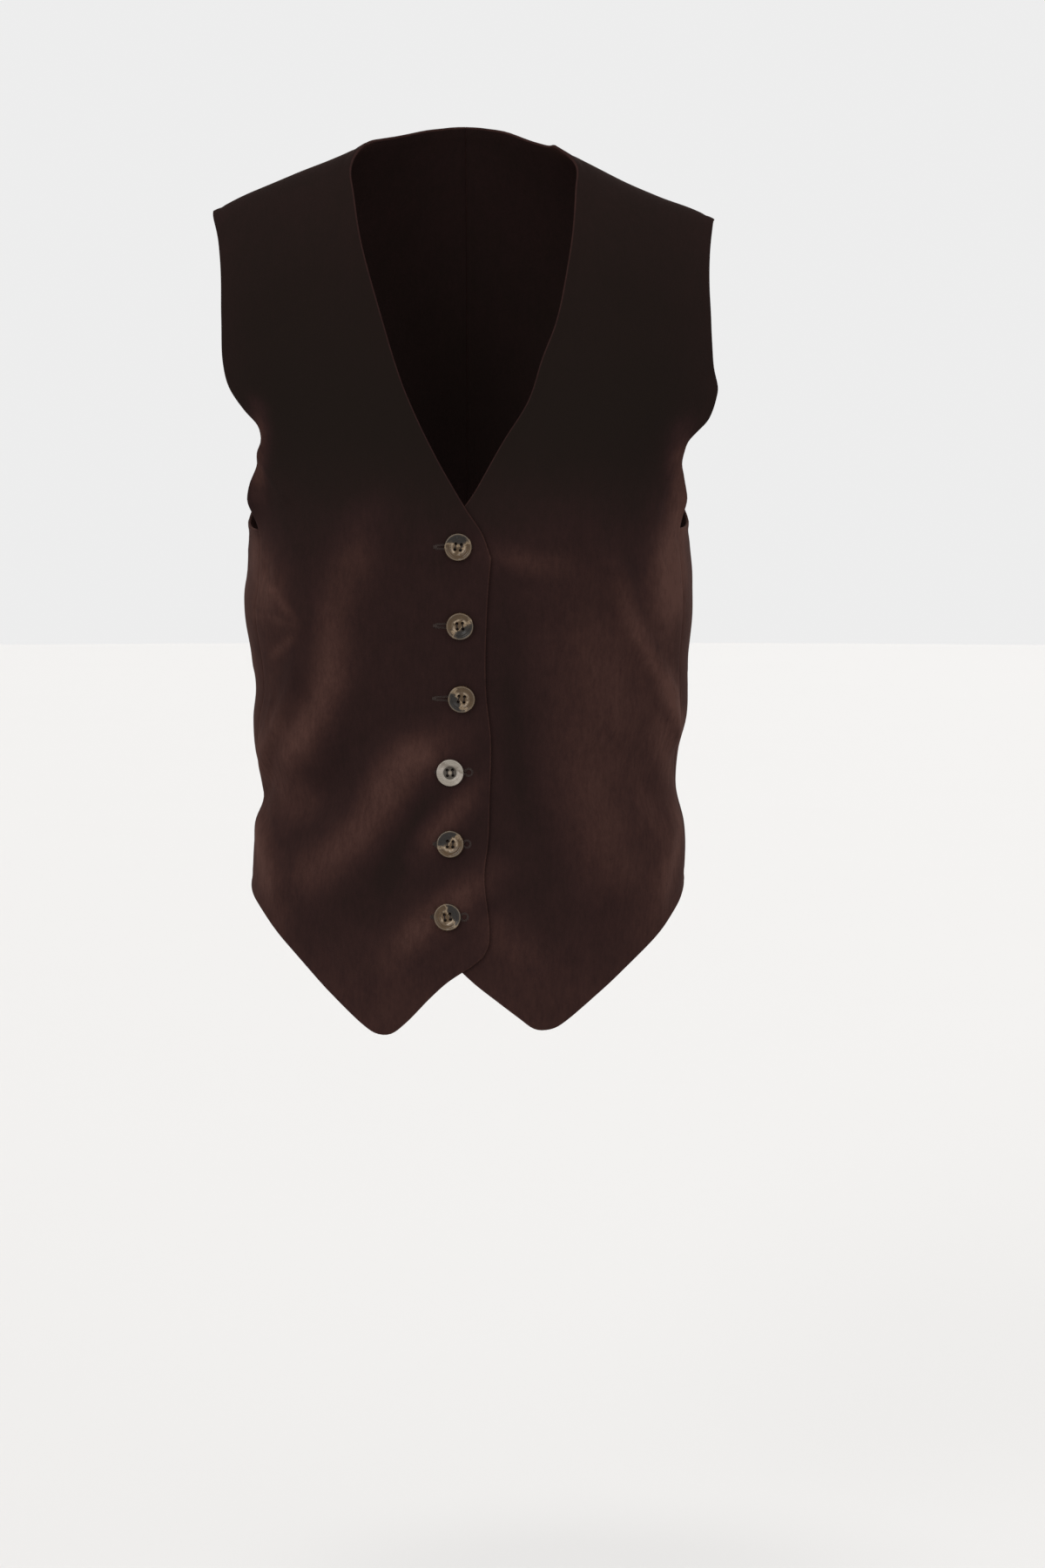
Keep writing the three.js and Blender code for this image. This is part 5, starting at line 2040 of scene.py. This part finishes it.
@dataclass
class Studio:
    """Plain pale floor, soft lights and the camera at the photograph's angle."""

    camera_place: tuple[float, float, float] = (0.0396, -2.8, -0.197)
    aimed_at: tuple[float, float, float] = (0.0396, 0.0, -0.437)
    lens: float = 93.34
    floor_z: float = -1.05
    floor_radius: float = 14.0
    floor_sides: int = 64
    floor_tones: tuple[Colour, Colour] = ((0.67, 0.665, 0.66), (0.65, 0.645, 0.64))
    floor_roughness: float = 0.8
    sensor: float = 36.0
    surroundings: float = 0.85
    lights: tuple[SoftLight, ...] = (
        SoftLight("key_light", (-1.5, -2.5, 1.3), 34.0, 1.0, (1.0, 0.98, 0.95)),
        SoftLight("fill_light", (1.7, -2.3, 0.9), 40.0, 0.5, (1.0, 0.98, 0.96)),
        SoftLight("rim_right", (-1.9, 0.5, 0.5), 30.0, 0.35, (1.0, 0.97, 0.95)),
        SoftLight("rim_left", (1.9, 0.5, 0.5), 30.0, 0.35, (1.0, 0.97, 0.95)),
        SoftLight("top_light", (-0.2, -0.45, 2.0), 15.0, 0.45, (1.0, 0.98, 0.95)),
        SoftLight("back_light", (0.6, 2.2, 1.4), 40.0, 0.5, (1.0, 0.98, 0.96)),
    )

    def floor(self) -> None:
        """Round level floor, wide enough for a view from any side."""
        turns = 2 * math.pi * np.arange(self.floor_sides) / self.floor_sides
        rim = np.stack([np.cos(turns), np.sin(turns), np.zeros(len(turns))], axis=1) * self.floor_radius
        rim[:, 2] = self.floor_z
        obj = mesh_object("studio_floor", rim / MM, [tuple(range(len(rim)))])
        material, nodes, shader = new_material("pale_floor")
        place = nodes.add("ShaderNodeTexCoord").outputs["Object"]
        tone = nodes.math("MULTIPLY", nodes.noise(place, 2.0, 2), 0.3)
        nodes.set(shader, Base_Color=nodes.mix(tone, *self.floor_tones), Roughness=self.floor_roughness)
        obj.data.materials.append(material)

    def light(self) -> None:
        """Soft lights and the pale surroundings."""
        for row in self.lights:
            data = bpy.data.lights.new(row.name, "SUN")
            data.angle, data.energy, data.color = math.radians(row.width), row.strength, row.colour
            obj = scene_object(row.name, data)
            obj.location = row.origin
            obj.rotation_euler = (-Vector(row.origin)).to_track_quat("-Z", "Y").to_euler()
        world = bpy.data.worlds.new("studio")
        world.use_nodes = True
        background = world.node_tree.nodes["Background"]
        background.inputs["Color"].default_value = (1.0, 1.0, 1.0, 1.0)
        background.inputs["Strength"].default_value = self.surroundings
        bpy.context.scene.world = world

    def camera(self) -> None:
        """Camera at the photograph's angle."""
        data = bpy.data.cameras.new("photo_camera")
        data.lens, data.sensor_width = self.lens, self.sensor
        obj = scene_object("photo_camera", data)
        obj.location = self.camera_place
        ahead = Vector(self.aimed_at) - Vector(self.camera_place)
        obj.rotation_euler = ahead.to_track_quat("-Z", "Y").to_euler()
        bpy.context.scene.camera = obj

    def build(self) -> None:
        """Makes the whole studio."""
        self.floor()
        self.light()
        self.camera()
        bpy.context.scene.view_settings.view_transform = "Standard"


def panels(form: WornForm, rules: PatternRules) -> list[ClothPanel]:
    """The four cut panels, with their flat sizes in metres and square metres."""
    return [
        ClothPanel("velvet_front_right", Side.RIGHT, Face.FRONT, form, rules, (0.25, 0.62), 0.091),
        ClothPanel("velvet_front_left", Side.LEFT, Face.FRONT, form, rules, (0.25, 0.62), 0.095),
        ClothPanel("velvet_back_right", Side.RIGHT, Face.BACK, form, rules, (0.235, 0.52), 0.106),
        ClothPanel("velvet_back_left", Side.LEFT, Face.BACK, form, rules, (0.235, 0.52), 0.106),
    ]


def share_free_edges(cut: Sequence[ClothPanel]) -> None:
    """Gives the panels of a side each other's free edges, so that they meet level at their seams."""
    for side in Side:
        own = [panel for panel in cut if panel.side is side]
        lines = [line for panel in own for line in panel.draper.free]
        for panel in own:
            panel.draper.free = lines


def main() -> None:
    """Builds the waistcoat's visible pieces in order."""
    logging.basicConfig(level=logging.INFO, format="%(message)s")
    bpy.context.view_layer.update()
    form, rules = WornForm(), PatternRules()
    pile, weave = pile_group(), weave_group()
    velvets = {
        Face.FRONT: Velvet("velvet_front").make(pile),
        Face.BACK: Velvet("velvet_back").make(pile),
    }
    inside = PlainCloth().make(weave)
    thread = Thread().make(weave)
    twist = Thread("buttonhole_twist", (0.012, 0.008, 0.007), (0.066, 0.046, 0.040)).make(weave)
    horns = {tone: Horn(tone).make() for tone in HornTone}

    placket: Placket | None = None
    cut = panels(form, rules)
    share_free_edges(cut)
    for panel in cut:
        obj = panel.build()
        if panel.name == "velvet_front_right":
            placket = Placket([Buttonhole(row) for row in BUTTON_ROWS], panel.draper)
            placket.cut(obj)
        panel.dress(obj, velvets[panel.face], inside)
    placket.sew(StitchTree(), twist)
    for number, row in enumerate(BUTTON_ROWS, start=1):
        button = HornButton(number, row, rules.cloth, rules.lap_gap)
        button.build(placket.draper, horns[row.tone], thread)
    Studio().build()


if __name__ == "__main__":
    main()
